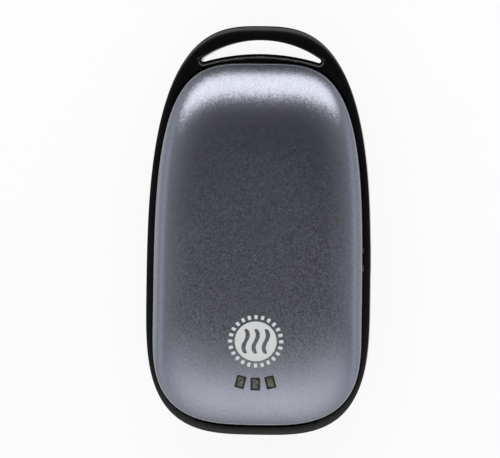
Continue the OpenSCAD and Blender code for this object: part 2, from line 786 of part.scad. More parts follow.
module back_plate() {
    slot_half = lead_pitch / 2 + thin_lead;
    color([0.2, 0.21, 0.22]) difference() {
        union() {
            chassis_half();
            switch_bracket();
            both_sides() translate([post_offset, post_y, plate_face])
                cylinder(d = post_diameter, h = board_low - plate_face);
        }
        pillar_places() {
            translate([0, 0, plate_face - overshoot])
                cylinder(d = screw_head_diameter + 2 * screw_clearance, h = head_seat - plate_face + overshoot);
            translate([0, 0, head_seat]) cylinder(d1 = screw_head_diameter + 2 * screw_clearance,
                d2 = screw_diameter + 2 * screw_clearance, h = screw_head_height);
            translate([0, 0, head_seat]) cylinder(d = screw_diameter + 2 * screw_clearance, h = mid_z);
        }
        both_sides() translate([post_offset, post_y, board_low - board_screw_length])
            cylinder(d = screw_diameter + 2 * thread_clearance, h = board_screw_length);
        block([tail_offset - slot_half, tail_foot - thin_lead - battery_lead, plate_face - overshoot],
            [tail_offset + slot_half, tail_foot + tail_slot, plate_inner + overshoot]);
    }
}

module front_plate() {
    thread_foot = lug_high - overshoot;
    thread_depth = head_seat + screw_length + overshoot - thread_foot;
    color([0.2, 0.21, 0.22]) difference() {
        turned_over() chassis_half();
        block([-body_half, body_foot, lug_high], [body_half, cell_foot - front_plate_foot, body_thickness]);
        pillar_places() translate([0, 0, thread_foot])
            cylinder(d = screw_diameter + 2 * thread_clearance, h = thread_depth);
    }
}

module case_screws() {
    color(steel) pillar_places() translate([0, 0, head_seat]) {
        cylinder(d1 = screw_head_diameter, d2 = screw_diameter, h = screw_head_height);
        cylinder(d = screw_diameter, h = screw_length);
    }
}

module cell() {
    shoulder = cell_length - cap_height;
    translate([cell_x, cell_foot, mid_z]) rotate([-90, 0, 0]) {
        cylinder(d = cell_diameter, h = shoulder);
        cylinder(d = cap_diameter, h = cell_length);
    }
}

module cell_right() {
    color([0.2, 0.45, 0.55]) cell();
}

module cell_left() {
    color([0.2, 0.45, 0.55]) mirror([1, 0, 0]) cell();
}

// Nickel strip across both cells, from the level y upwards
module strip(y) {
    color(steel) slab(0, y + strip_thickness / 2, mid_z - strip_width / 2,
        [2 * cell_x + strip_width, strip_thickness, strip_width]);
}

module strip_plus() {
    strip(cell_top);
}

module strip_minus() {
    strip(cell_foot - strip_thickness);
}

module cap_washers() {
    color([0.85, 0.83, 0.76]) both_sides()
        translate([cell_x, cell_top - cap_height, mid_z]) rotate([-90, 0, 0]) difference() {
            cylinder(d = cell_diameter - washer_thickness, h = washer_thickness);
            translate([0, 0, -overshoot])
                cylinder(d = cap_diameter + washer_thickness, h = washer_thickness + 2 * overshoot);
        }
}

module end_foam() {
    foot = cell_top + strip_thickness + end_foam_clearance;
    color(foam_grey) translate([0, 0, mid_z - end_foam_height / 2]) linear_extrude(end_foam_height)
        intersection() {
            polygon(cover_outline(ledge_width + end_foam_clearance));
            both_sides() translate([cell_x - end_foam_width / 2, foot]) square([end_foam_width, body_top]);
        }
}

module main_board() {
    color(board_green) translate([0, 0, board_low]) linear_extrude(board_thickness) difference() {
        intersection() {
            polygon(cover_outline(ledge_width + board_margin));
            translate([-body_half, board_foot]) square([body_width, board_length]);
        }
        both_sides() translate([post_offset, post_y]) circle(d = screw_diameter + 2 * screw_clearance);
    }
}

module board_screws() {
    color(steel) both_sides() translate([post_offset, post_y, board_top]) {
        translate([0, 0, -board_screw_length]) cylinder(d = screw_diameter, h = board_screw_length);
        cylinder(d = screw_head_diameter, h = board_screw_head);
    }
}

// Metal shell of a socket that stands on the main board, open at the bottom end of the body
module socket_shell(x, width, height, length) {
    color(steel) difference() {
        block([x - width / 2, port_y, board_top], [x + width / 2, port_y + length, board_top + height]);
        block([x - width / 2 + socket_wall, port_y - overshoot, board_top + socket_wall],
            [x + width / 2 - socket_wall, port_y + length - socket_wall, board_top + height - socket_wall]);
    }
}

module output_shell() {
    socket_shell(output_x, output_width, output_height, output_length);
}

module charge_shell() {
    socket_shell(charge_x, charge_width, charge_height, charge_length);
}

module output_tongue_block() {
    inner = output_width / 2 - socket_wall;
    tongue_half = inner - output_tongue_gap;
    color("white") {
        block([output_x - inner, output_lip + output_tongue_length, board_top + socket_wall],
            [output_x + inner, output_root, board_top + output_height - socket_wall]);
        block([output_x - tongue_half, output_lip, output_tongue_low],
            [output_x + tongue_half, output_root, output_tongue_top]);
    }
}

module output_contacts() {
    back = output_lip + output_tongue_length;
    color([0.85, 0.68, 0.3]) for (i = [-1.5:1.5])
        let (x = output_x + i * contact_pitch)
        block([x - contact_width / 2, output_lip + contact_width, output_tongue_low - contact_thickness],
            [x + contact_width / 2, back, output_tongue_low]);
}

module charge_tongue_block() {
    inner = charge_width / 2 - socket_wall;
    low = board_top + charge_height / 2;
    color(frame_black) {
        block([charge_x - inner, charge_back - charge_root, board_top + socket_wall],
            [charge_x + inner, charge_back, board_top + charge_height - socket_wall]);
        block([charge_x - charge_tongue_width / 2, port_y + tongue_recess, low],
            [charge_x + charge_tongue_width / 2, charge_back, low + charge_tongue]);
    }
}

module power_inductor() {
    color([0.28, 0.28, 0.3])
        slab(inductor_x, inductor_y, board_top, [inductor_side, inductor_side, inductor_height]);
}

module control_chip_body() {
    color([0.1, 0.1, 0.1])
        slab(control_chip_x, control_chip_y, board_top, [control_chip.x, control_chip.y, chip_height]);
}

module charge_chip_body() {
    color([0.1, 0.1, 0.1])
        slab(charge_chip_x, charge_chip_y, board_top, [charge_chip.x, charge_chip.y, chip_height]);
}

module capacitors() {
    color(steel) for (row = [0, 1])
        translate([capacitor_x, capacitor_y - row * capacitor_pitch, board_top])
            cylinder(d = capacitor_diameter, h = capacitor_height);
}

module indicator_board() {
    color("white") slab(0, window_y, indicator_top - indicator_thickness,
        [indicator_length, indicator_width, indicator_thickness]);
}

module status_leds() {
    color([0.75, 0.7, 0.45]) window_places()
        slab(0, 0, indicator_top, [led_width, led_length, led_height]);
}

module indicator_holder() {
    wall_middle = (web_length - holder_wall) / 2;
    foot = 2 * holder_wall;
    color(frame_black) {
        slab(0, window_y, holder_low, [web_length, web_width, holder_wall]);
        both_sides()
            slab(wall_middle, window_y, holder_low, [holder_wall, web_width, web_low - holder_low]);
        slab(-foot_pitch / 2, window_y, board_top + output_height,
            [foot, foot_width, holder_low - board_top - output_height]);
        slab(foot_pitch / 2, window_y, board_top, [foot, foot_width, holder_low - board_top]);
    }
}

module light_guide() {
    lens_top = crown_height(window_y) - lens_recess;
    color([0.3, 0.28, 0.22, 0.8]) {
        slab(0, window_y, web_low, [web_length, web_width, web_thickness]);
        window_places() translate([0, 0, web_low]) linear_extrude(lens_top - web_low)
            square([window_width - 2 * lens_clearance, window_length - 2 * lens_clearance], center = true);
    }
}

// Pin strip between the main board and the indicator board's holder
module board_link() {
    pin = 0.64;
    pitch = 2;
    x = 2.4;
    row_y = window_y - 0.8;
    base = 2.4;
    color([0.12, 0.12, 0.12]) slab(x, row_y, board_top, [3 * pitch, base, base]);
    color(copper) for (i = [-1:1])
        slab(x + i * pitch, row_y, board_top + base, [pin, pin, holder_low - board_top - base]);
}

module film() {
    color([0.85, 0.5, 0.12]) translate([0, 0, film_face]) linear_extrude(film_thickness) {
        translate([-film_width / 2, film_foot]) square([film_width, film_length]);
        translate([tail_offset - tail_width / 2, tail_foot]) square([tail_width, film_foot - tail_foot + 1]);
    }
}

module foam() {
    color(foam_grey) translate([0, 0, foam_face]) linear_extrude(foam_thickness) difference() {
        translate([-film_width / 2 + foam_margin, film_foot + foam_margin])
            square([film_width - 2 * foam_margin, film_length - 2 * foam_margin]);
        translate([0, cover_mid]) square(sensor_side + 1, center = true);
    }
}

module sensor() {
    color([0.1, 0.1, 0.1]) slab(0, cover_mid, foam_face, [sensor_side, sensor_side, sensor_height]);
}

module film_back() {
    film();
}

module film_front() {
    turned_over() mirror([1, 0, 0]) film();
}

module foam_back() {
    foam();
}

module foam_front() {
    turned_over() foam();
}

module sensor_back() {
    sensor();
}

module sensor_front() {
    turned_over() sensor();
}

module switch_board() {
    color(board_green) block(
        [switch_board_x, button_y - switch_board_length / 2, mid_z - switch_board_height / 2],
        [switch_x, button_y + switch_board_length / 2, mid_z + switch_board_height / 2]);
}

module switch_body() {
    bore = plunger_hold + plunger_room;
    color([0.15, 0.15, 0.16]) difference() {
        block([switch_x, button_y - switch_side / 2, mid_z - switch_side / 2],
            [switch_front, button_y + switch_side / 2, mid_z + switch_side / 2]);
        translate([switch_front - bore, button_y, mid_z]) rotate([0, 90, 0])
            cylinder(r = plunger_diameter / 2 + plunger_clearance, h = bore + overshoot);
    }
}

module switch_plunger() {
    color([0.8, 0.78, 0.7]) translate([switch_front - plunger_hold, button_y, mid_z]) rotate([0, 90, 0])
        cylinder(d = plunger_diameter, h = plunger_hold + plunger_reach);
}

module power_button() {
    wall_x = cover_reach(button_y, ledge_width);
    flange_x = wall_x - flange_gap - flange_thickness;
    color(frame_black) {
        translate([flange_x, button_y, mid_z])
            stadium_bar(button_face - flange_x, button_length, button_height);
        translate([flange_x, button_y, mid_z])
            stadium_bar(flange_thickness, button_length + 2 * flange_border,
                button_height + 2 * flange_border);
        translate([plunger_tip, button_y, mid_z]) rotate([0, 90, 0])
            cylinder(d = plunger_diameter, h = flange_x + flange_thickness - plunger_tip);
    }
}

battery_r = battery_lead / 2;
thin_r = thin_lead / 2;
groove_z = mid_z + sqrt(pow(cell_diameter / 2 + battery_r + 0.15, 2) - pow(cell_x, 2));

module lead_plus() {
    x = 1.6;
    end = cell_top + strip_thickness + battery_r;
    color("red") lead([
        [0, end + 0.05, mid_z + 1],
        [0, end + 0.1, mid_z + 2.4],
        [0, end - 0.1, groove_z - 0.1],
        [0, cell_top - 1.4, groove_z + 0.1],
        [0, cell_top - 5, groove_z],
        [0, cover_mid, groove_z],
        [0, cell_foot + 5, groove_z],
        [0, cell_foot + 0.6, groove_z + 0.05],
        [0.5, cell_foot - 1.1, groove_z - 0.3],
        [x, board_back + 0.3, groove_z - 2],
        [x, board_back - 1.4, board_top + 2],
        [x, board_back - 2.8, board_top + battery_r + 0.15],
        [x, board_back - 4.4, board_top + battery_r + 0.05]], battery_lead, [1, 0, 0]);
}

module lead_minus() {
    x = 3.5;
    y = cell_foot - strip_thickness - battery_r - 0.1;
    color([0.1, 0.1, 0.1]) lead([
        [x, y, mid_z + 1],
        [x, y, mid_z - 0.2],
        [x, board_back - 1, board_top + 1.6],
        [x, board_back - 2.8, board_top + battery_r + 0.15],
        [x, board_back - 4.4, board_top + battery_r + 0.05]], battery_lead, [1, 0, 0]);
}

// A pair of thin leads side by side across the body
module lead_pair(x, points, tint) {
    color(tint) for (side = [-1, 1])
        lead([for (p = points) [x + side * lead_pitch / 2, p.x, p.y]], thin_lead, [1, 0, 0]);
}

module heater_leads_back() {
    z = film_face + film_thickness + thin_r + 0.05;
    y = tail_foot - 0.2;
    lead_pair(tail_offset, [
        [tail_foot + tail_joint, z], [tail_foot + 0.8, z], [y, z + 0.6], [y - 0.3, z + 2.2],
        [y - 0.3, board_low - 3], [y - 0.3, board_low]], [0.9, 0.85, 0.3]);
}

module heater_leads_front() {
    z = body_thickness - film_face - film_thickness - thin_r - 0.05;
    y = tail_foot - 0.5;
    lead_pair(-tail_offset, [
        [cell_foot - front_plate_foot - 0.8, z], [tail_foot + 0.8, z], [y, z - 0.8], [y - 0.3, z - 3],
        [y - 0.3, mid_z], [y - 0.3, board_top]], [0.9, 0.85, 0.3]);
}

module switch_leads() {
    x = pillar_x + pillar_diameter / 2 + thin_lead + 0.5;
    y = button_y - switch_board_length / 2 + 1.6;
    z = mid_z - switch_board_height / 2 + 1.2;
    pad_z = board_top + thin_r + 0.05;
    pillar_y = pillar_levels[1];
    color("white") for (step = [0, lead_pitch])
        lead([
            [switch_x + thin_r + 0.05, y, z + step],
            [switch_x + thin_r + 0.4, y - 1.2, z + step],
            [x, y - 5, z + step],
            [x, pillar_y, z + step],
            [x, pillar_y - 2.6, z + step + 0.2],
            [x - 0.6, pillar_y - 5.6, pad_z + step + 0.3],
            [x - 1.4, board_back - 0.6, pad_z + step + 0.1],
            [x - 2 - step, board_back - 2.4, pad_z + 0.1],
            [x - 2.4 - step, board_back - 3.6, pad_z]], thin_lead, [0, 0, 1]);
}

front_cover();
back_cover();
front_gasket();
back_gasket();
mid_frame();
front_plate();
back_plate();
case_screws();
cell_left();
cell_right();
strip_plus();
strip_minus();
cap_washers();
end_foam();
main_board();
board_screws();
output_shell();
output_tongue_block();
output_contacts();
charge_shell();
charge_tongue_block();
power_inductor();
control_chip_body();
charge_chip_body();
capacitors();
indicator_board();
status_leds();
indicator_holder();
light_guide();
board_link();
film_front();
film_back();
foam_front();
foam_back();
sensor_front();
sensor_back();
switch_board();
switch_body();
switch_plunger();
power_button();
lead_plus();
lead_minus();
heater_leads_front();
heater_leads_back();
switch_leads();
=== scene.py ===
"""Looks of a rechargeable hand warmer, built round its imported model.

The file is laid out as an add-on, and is run as a script.
"""

import json
import math

import bmesh
import bpy
from mathutils import Matrix, Vector


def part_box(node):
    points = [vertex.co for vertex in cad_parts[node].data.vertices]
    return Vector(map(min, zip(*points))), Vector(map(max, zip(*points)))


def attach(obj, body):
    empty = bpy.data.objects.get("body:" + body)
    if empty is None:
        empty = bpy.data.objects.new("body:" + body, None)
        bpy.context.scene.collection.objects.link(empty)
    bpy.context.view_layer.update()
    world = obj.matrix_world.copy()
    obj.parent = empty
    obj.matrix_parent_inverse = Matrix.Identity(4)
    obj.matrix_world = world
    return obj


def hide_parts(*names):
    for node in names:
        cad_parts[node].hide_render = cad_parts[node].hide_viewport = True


bl_info = {
    "name": "Hand warmer",
    "version": (1, 0, 0),
    "blender": (4, 5, 0),
    "location": "3D View > Sidebar > Hand warmer",
    "description": "Builds the covers, frame, windows, button and sockets of a pocket hand warmer",
    "category": "Object",
}

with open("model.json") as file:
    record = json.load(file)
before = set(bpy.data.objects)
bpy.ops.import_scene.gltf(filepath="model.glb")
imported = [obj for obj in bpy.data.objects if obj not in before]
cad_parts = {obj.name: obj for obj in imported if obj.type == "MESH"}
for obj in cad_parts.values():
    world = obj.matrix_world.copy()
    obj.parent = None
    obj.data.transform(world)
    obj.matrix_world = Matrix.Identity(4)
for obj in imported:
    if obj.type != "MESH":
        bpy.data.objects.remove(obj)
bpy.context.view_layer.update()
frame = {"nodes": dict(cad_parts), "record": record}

MM = 0.001
SMALLEST = 1e-7
WHITE = (1, 1, 1, 1)

# Steps in which the shapes are drawn. A flat cap takes the place of the crown's innermost ones
OUTLINE_STEPS = 240
CROWN_STEPS = 36
CAP_STEPS = 2
ROLL_STEPS = 8
EDGE_STEPS = 6
FACE_STEPS = 10
LOOP_STEPS = 20
DISC_STEPS = 96
WAVE_STEPS = 24
DRAPE_STEPS = 14
SEARCH_STEPS = 24
ARC_STEP = math.radians(9)
ARC_CHORD = 0.8 * MM

# Levels of the covers' edge tabs, which are the same on both sides
TAB_LEVELS = (35.7 * MM, -5 * MM, -9.8 * MM)
SOCKETS = ("output_shell", "charge_shell")

# The photograph's width in pixels, and the sensor's in millimetres
PHOTO_WIDTH = 500
SENSOR_WIDTH = 36

# The stage. The backdrop fades out between two heights, which are given as sines
FLOOR_REACH = 3
FLOOR_GAP = 0.02 * MM
CAMERA_REACH = 10
OVAL_GAP = 20 * MM
BACKDROP_EDGE = (0.07, 0.1)

ACROSS = Vector((1, 0, 0))
ALONG = Vector((0, 1, 0))

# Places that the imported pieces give
body_low, body_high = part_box("mid_frame")
seat_low, seat_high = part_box("front_gasket")
cover_low, cover_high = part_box("front_cover")
guide_low, guide_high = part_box("light_guide")
board_low, board_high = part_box("indicator_board")
button_low, button_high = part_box("power_button")
mid_z = (body_low.z + body_high.z) / 2
thickness = 2 * mid_z
half_band = (body_high.z - body_low.z) / 2
cover_middle = (seat_low.y + seat_high.y) / 2
led_level = (board_low.y + board_high.y) / 2
button_level = (button_low.y + button_high.y) / 2


def linear(code):
    """Linear red, green and blue of an sRGB hex value."""
    parts = [int(code[i:i + 2], 16) / 255 for i in (1, 3, 5)]
    return tuple(p / 12.92 if p <= 0.04045 else ((p + 0.055) / 1.055) ** 2.4 for p in parts)


def length(name, description, millimetres, low=0.0):
    """Property for a length, given in millimetres."""
    return bpy.props.FloatProperty(
        name=name, description=description, default=millimetres * MM, min=low * MM,
        unit="LENGTH", precision=5)


def colour(name, description, code):
    """Property for a colour, given as an sRGB hex value."""
    return bpy.props.FloatVectorProperty(
        name=name, description=description, default=linear(code), size=3, min=0, max=1, subtype="COLOR")


def number(name, description, value):
    """Property for a plain number."""
    return bpy.props.FloatProperty(name=name, description=description, default=value)


class CoverSettings(bpy.types.PropertyGroup):
    wide_level: length("Widest level", "From the lower end of a cover to its widest level", 26.3)
    foot_power: number("Foot power", "Squareness of a cover below its widest level", 3.1)
    shoulder_power: number("Shoulder power", "Squareness of a cover above its widest level", 3.76)
    crown_power: number("Crown power", "Power of the crown, where a higher one has a tighter edge", 6.7)
    lip: length("Lip", "Height of a cover's edge over the face of the frame", 1.4)
    roll: length("Roll", "Height of the rolled edge, which ends the crown", 1.1)
    roll_start: number("Roll start", "Share of a cover's reach at which its rolled edge starts", 0.988)
    wall: length("Wall", "Sheet thickness of the covers", 1)
    gap: length("Gap", "Gap between a cover and the rim of the frame", 0.35)
    tab_length: length("Tab length", "Length of the small edge tabs", 1.4)
    tab_height: length("Tab height", "Height of the small edge tabs", 0.5)
    tab_reach: length("Tab reach", "How far a tab stands out of the cover's side", 0.22)
    paint: colour("Paint", "Metallic paint of the covers", "#8E909A")
    bare: colour("Bare edge", "Aluminium where it is cut", "#8C8E96")


class FrameSettings(bpy.types.PropertyGroup):
    wide_level: length("Widest level", "From the lower end of the frame to its widest level", 37.6)
    foot_power: number("Foot power", "Squareness of the frame below its widest level", 3.27)
    shoulder_power: number("Shoulder power", "Squareness of the frame above its widest level", 2.9)
    edge_width: length("Edge width", "Width over which the frame's faces fall towards its outer edge", 2)
    edge_drop: length("Edge drop", "Depth by which the faces fall there", 0.5)
    loop_thickness: length("Loop thickness", "Thickness of the frame at the end of the loop", 10.4)
    ledge_width: length("Ledge width", "Width of the ledge under a cover", 1.4)
    rim_break: length("Rim break", "Radius of the edge where the rim meets the cover's gap", 0.16)
    bar_width: length("Bar width", "Width of the loop's bar", 3.9)
    slot_height: length("Slot height", "Height of the slot at its middle", 3.58)
    slot_upper: length("Upper radius", "Radius of the slot's upper edge", 28)
    slot_lower: length("Lower radius", "Radius of the slot's lower edge", 54.5)
    slot_tip: length("Tip radius", "Radius of the slot's two tips", 0.5)
    slot_round: length("Slot edge radius", "Radius of the slot's lower edge and its tips", 1.5)
    bar_break: number("Bar edge", "Radius of the slot's upper edge, as a share of the slot edge radius", 0.16)
    bar_lean: length("Bar lean", "Draft of the bar's inner wall, outwards down to the back face", 0.7)
    screw_hole: length("Screw hole", "Radius of the hole for a case screw", 1.1)
    screw_head: length("Screw head", "Radius of a case screw's head", 1.8)
    screw_inset: length("Screw inset", "From a screw's axis to the side of the front plate", 2)
    lug_wall: length("Lug wall", "Wall of a screw lug round its screw", 1.1)
    lug_height: length("Lug height", "Thickness of the screw lugs", 1.6)
    plastic: colour("Plastic", "Moulded plastic of the frame and the button", "#060607")


class WindowSettings(bpy.types.PropertyGroup):
    width: length("Width", "Width of an indicator window", 2.42)
    height: length("Length", "Length of an indicator window", 3.3)
    pitch: length("Pitch", "Distance between the middles of two windows", 4)
    arc: length("Arc", "Radius of the arc that the windows lie on", 16)
    corner: length("Corner radius", "Radius of the windows' corners", 0.22)
    rim: length("Cut edge", "Width of the bare edge round a window", 0.22)
    rim_depth: length("Cut depth", "Depth of the bare edge round a window", 0.26)
    throat: length("Throat", "Radius of the bare edge where it turns down into a window", 0.2)
    # The border is painted shade: a dark frame round each lens that stands for the shadowed gap between lens
    # and window
    shade_border: length("Border", "Width of the dark border round a lens", 0.28)
    shade_border_depth: length("Border depth", "Depth of the dark border's lower edge below the crown", 1.2)
    clearance: length("Clearance", "Clearance between a lens and its window", 0.06)
    recess: length("Recess", "Depth of the lenses below the crown", 0.35)
    lens_depth: length("Lens depth", "Depth of a lens's lower end below the crown", 1.6)
    lens_edge: length("Lens edge", "Radius of a lens's upper edge", 0.15)
    strip: length("Strip", "Thickness of the strip that joins the lenses", 0.8)
    strip_length: length("Strip length", "Length of that strip along the body", 4.6)
    strip_corner: length("Strip corner", "Radius of that strip's corners", 0.4)
    led_width: length("LED width", "Width of an indicator LED", 1.25)
    led_length: length("LED length", "Length of an indicator LED", 2)
    led_height: length("LED height", "Height of an indicator LED over its board", 0.7)
    led_edge: length("LED edge", "Radius of an indicator LED's edges", 0.1)
    lens: colour("Lens", "Smoked tint of the lenses", "#4E4A3F")
    phosphor: colour("Phosphor", "Resin over the indicator LEDs", "#B9A25E")


class PrintSettings(bpy.types.PropertyGroup):
    width: length("Width", "Width of the oval print", 14.8)
    height: length("Height", "Height of the oval print", 14)
    level: length("Level", "From the lower end of the body to the middle of the print", 25.4)
    across: length("Place across", "From the middle of the body to the middle of the print", 0, -5)
    disc: length("Disc", "Diameter of the disc inside the rays", 11.2)
    ray_length: length("Ray length", "Length of the rays round the disc", 1.15)
    ray_width: length("Ray width", "Width of the rays round the disc", 0.85)
    ray_corner: length("Ray corner", "Radius of the rays' corners", 0.2)
    rays: bpy.props.IntProperty(name="Rays", description="Number of rays round the disc", default=24, min=3)
    wave_width: length("Wave width", "Width of the heat waves left out of the disc", 1.15)
    wave_length: length("Wave length", "Length of the heat waves", 7)
    wave_swing: length("Wave swing", "Sideways swing of the heat waves", 0.55)
    wave_pitch: length("Wave pitch", "Distance between two heat waves", 2.7)
    film: length("Ink film", "Thickness of the ink", 0.02)
    ink: colour("Ink", "Pale ink of the print", "#DADBD9")


class ButtonSettings(bpy.types.PropertyGroup):
    cap_length: length("Length", "Length of the button along the body", 9)
    cap_height: length("Height", "Height of the button", 4.2)
    clearance: length("Clearance", "Clearance round the button and over its flange", 0.15)
    edge_round: length("Edge radius", "Radius of the button's outer edge", 0.5)
    mouth_break: length("Mouth break", "Radius of the frame's edge round the button", 0.3)
    flange: length("Flange", "Height of the inner flange beyond the cap, and its thickness", 0.8)
    stem: length("Stem", "Radius of the stem that presses the switch", 1.7)
    symbol: length("Symbol", "Diameter of the symbol on the button", 2)
    stroke: length("Stroke", "Width of the symbol's lines", 0.28)
    opening: number("Opening", "Degrees from the top of the symbol's ring to where it stops", 36)
    ink: length("Ink", "Height of the symbol, which is sunk a little into the button", 0.03)


class SocketSettings(bpy.types.PropertyGroup):
    wall: length("Wall", "Wall of the sockets' metal shells", 0.3)
    clearance: length("Clearance", "Clearance round the sockets in the frame", 0.15)
    corner: length("Corner radius", "Radius of the sockets' corners", 0.6)
    shell_edge: length("Shell edge", "Radius of the edge at a socket's mouth", 0.08)
    mouth_break: length("Mouth break", "Radius of the frame's edge round a socket", 0.35)


class StageSettings(bpy.types.PropertyGroup):
    floor: colour("Floor", "Pale floor", "#FAFAFA")
    floor_glow: number("Floor glow", "Share of the floor's look that is its own light, to keep it pale", 0.88)
    distance: length("Camera distance", "From the camera to the object", 900)
    scale: number("Photo scale", "Pixels of the photo's width for each millimetre", 3.696)
    aim_x: length("Aim across", "Where the middle of the picture lies across the body", -2.65, -50)
    aim_y: length("Aim along", "Where the middle of the picture lies along the body", 0.34, -50)
    side: number("Side tilt", "Degrees by which the camera stands to the button's side", 3.2)
    foot: number("Foot tilt", "Degrees by which the camera stands to the lower end", 0)
    roll: number("Roll", "Degrees by which the picture turns the object clockwise", 0.77)
    key: number("Softbox", "Level of the softbox beyond the loop", 2.81)
    key_turn: number("Softbox heading", "Degrees by which it stands to the left of the loop", 2.57)
    key_start: number("Softbox start", "Degrees from straight overhead to its near edge", 27.7)
    key_end: number("Softbox end", "Degrees from straight overhead to its far edge", 54.25)
    key_width: number("Softbox width", "Degrees that it fills from side to side", 100.6)
    key_fade: number("Softbox fade", "Share of its size over which it fades, on both sides of its edge", 0.18)
    key_distance: length("Softbox distance", "From the softbox to the object", 903)
    zenith: number("Zenith", "Level of the room overhead", 0.018)
    horizon: number("Horizon", "Level of the room at the horizon, to the left and the right", 0.705)
    horizon_power: number("Horizon power", "How steeply the room pales towards the horizon", 1.324)
    shade: number("Shade", "Share of that light that is missing beyond the loop and the lower end", 0.949)
    glow: number("Glow", "Level that the white wall beyond the lower end adds", 2.79)
    glow_spread: number("Glow spread", "Power of the wall's fading towards the sides", 0.871)
    glow_height: number("Glow height", "Power of the wall's fading towards the horizon", 1.532)
    ridge: number("Ridge", "Level that the windows to the left and the right add, low over the floor", 0.4)
    ridge_height: number("Ridge height", "Height at which they stand, as a sine", 0.27)
    ridge_reach: number("Ridge reach", "Height over which they fade, as a sine", 0.2)
    daylight: colour("Daylight", "Cool light from the left and the right", "#EEF3FF")
    backdrop: number("Backdrop", "Level of the backdrop behind the floor", 0.6)


class HandWarmerSettings(bpy.types.PropertyGroup):
    covers: bpy.props.PointerProperty(type=CoverSettings)
    frame: bpy.props.PointerProperty(type=FrameSettings)
    windows: bpy.props.PointerProperty(type=WindowSettings)
    print: bpy.props.PointerProperty(type=PrintSettings)
    button: bpy.props.PointerProperty(type=ButtonSettings)
    sockets: bpy.props.PointerProperty(type=SocketSettings)
    stage: bpy.props.PointerProperty(type=StageSettings)


class Outline:
    """Egg-shaped outline of two superellipse halves, which meet at the widest level."""

    def __init__(self, low, high, settings, inset=0.0):
        self.half = high.x - inset
        self.foot = low.y + inset
        self.top = high.y - inset
        self.wide = low.y + settings.wide_level
        self.foot_power = settings.foot_power
        self.shoulder_power = settings.shoulder_power

    def at(self, turn):
        """Point of the outline in the direction turn."""
        across, along = math.cos(turn), math.sin(turn)
        power = self.shoulder_power if along > 0 else self.foot_power
        reach = self.top - self.wide if along > 0 else self.wide - self.foot
        size = (abs(across) ** power + abs(along) ** power) ** (-1 / power)
        return Vector((self.half * across * size, self.wide + reach * along * size))

    def reach(self, y):
        """Half width of the outline at the level y."""
        power = self.shoulder_power if y > self.wide else self.foot_power
        span = self.top - self.wide if y > self.wide else self.wide - self.foot
        share = min(1.0, abs(y - self.wide) / span)
        return self.half * (1 - share ** power) ** (1 / power)


def cover_outline(context, inset=0.0):
    """Outline of the covers, or one that lies inside it."""
    return Outline(seat_low, seat_high, context.scene.hand_warmer.covers, inset)


def body_outline(context, inset=0.0):
    """Outline of the frame, or one that lies inside it."""
    return Outline(body_low, body_high, context.scene.hand_warmer.frame, inset)


def crown(context, share):
    """Height of the front cover's outside at a share of its outline: a crown that ends in a rolled edge."""
    covers = context.scene.hand_warmer.covers
    fall = cover_high.z - body_high.z - covers.lip - covers.roll
    bend = max(0.0, (share - covers.roll_start) / (1 - covers.roll_start))
    return cover_high.z - fall * share ** covers.crown_power - covers.roll * (1 - math.sqrt(1 - bend ** 2))


def crown_height(context, x, y):
    """Height of the front cover's outside at x, y."""
    outline = cover_outline(context)
    low, high = SMALLEST, 1.0
    for _ in range(SEARCH_STEPS):
        share = (low + high) / 2
        outside = abs(x) / share > outline.reach(cover_middle + (y - cover_middle) / share)
        span = abs(y - cover_middle) / share > (outline.top - outline.foot) / 2
        low, high = (share, high) if outside or span else (low, share)
    return crown(context, high)


def of_kind(geometry, kind):
    """The verts, edges or faces out of what an operator returns."""
    return [part for part in geometry if isinstance(part, kind)]


def quarter_turn(steps):
    """Angles from 0 to a right angle, in even steps."""
    return [math.pi / 2 * count / steps for count in range(steps + 1)]


def both_faces(steps):
    """Side and angle of each ring of a wall that curves out of the back face and into the front one."""
    turns = quarter_turn(steps)
    return [*((-1, turn) for turn in turns), *((1, turn) for turn in reversed(turns))]


def move(mesh, x=0.0, y=0.0, z=0.0):
    """Moves a whole mesh."""
    bmesh.ops.translate(mesh, vec=(x, y, z), verts=mesh.verts)


def rotate(mesh, angle, axis):
    """Turns a whole mesh about an axis through the origin."""
    bmesh.ops.rotate(mesh, cent=(0, 0, 0), matrix=Matrix.Rotation(angle, 3, axis), verts=mesh.verts)


def next_ring(mesh, edges):
    """Extrudes a ring where it stands, and returns the new ring's edges and verts."""
    grown = bmesh.ops.extrude_edge_only(mesh, edges=edges)["geom"]
    ring = of_kind(grown, bmesh.types.BMVert)
    members = set(ring)
    return [edge for edge in of_kind(grown, bmesh.types.BMEdge) if members.issuperset(edge.verts)], ring


def loft(mesh, levels):
    """Skin through rings that start as a circle. Each level is an outline, its share and its height."""
    turn = mesh.verts.layers.float.new("turn")
    ring = bmesh.ops.create_circle(mesh, segments=OUTLINE_STEPS, radius=1)["verts"]
    for vert in ring:
        vert[turn] = math.atan2(vert.co.y, vert.co.x)
    edges = list({edge for vert in ring for edge in vert.link_edges})
    first = edges
    for count, (outline, share, height) in enumerate(levels):
        if count:
            edges, ring = next_ring(mesh, edges)
        for vert in ring:
            place = outline.at(vert[turn])
            vert.co = (share * place.x, cover_middle + share * (place.y - cover_middle), height)
    return first, edges


def cap(mesh, *loops):
    """Closes open rings with flat faces."""
    for edges in loops:
        bmesh.ops.contextual_create(mesh, geom=edges)
    bmesh.ops.recalc_face_normals(mesh, faces=mesh.faces)


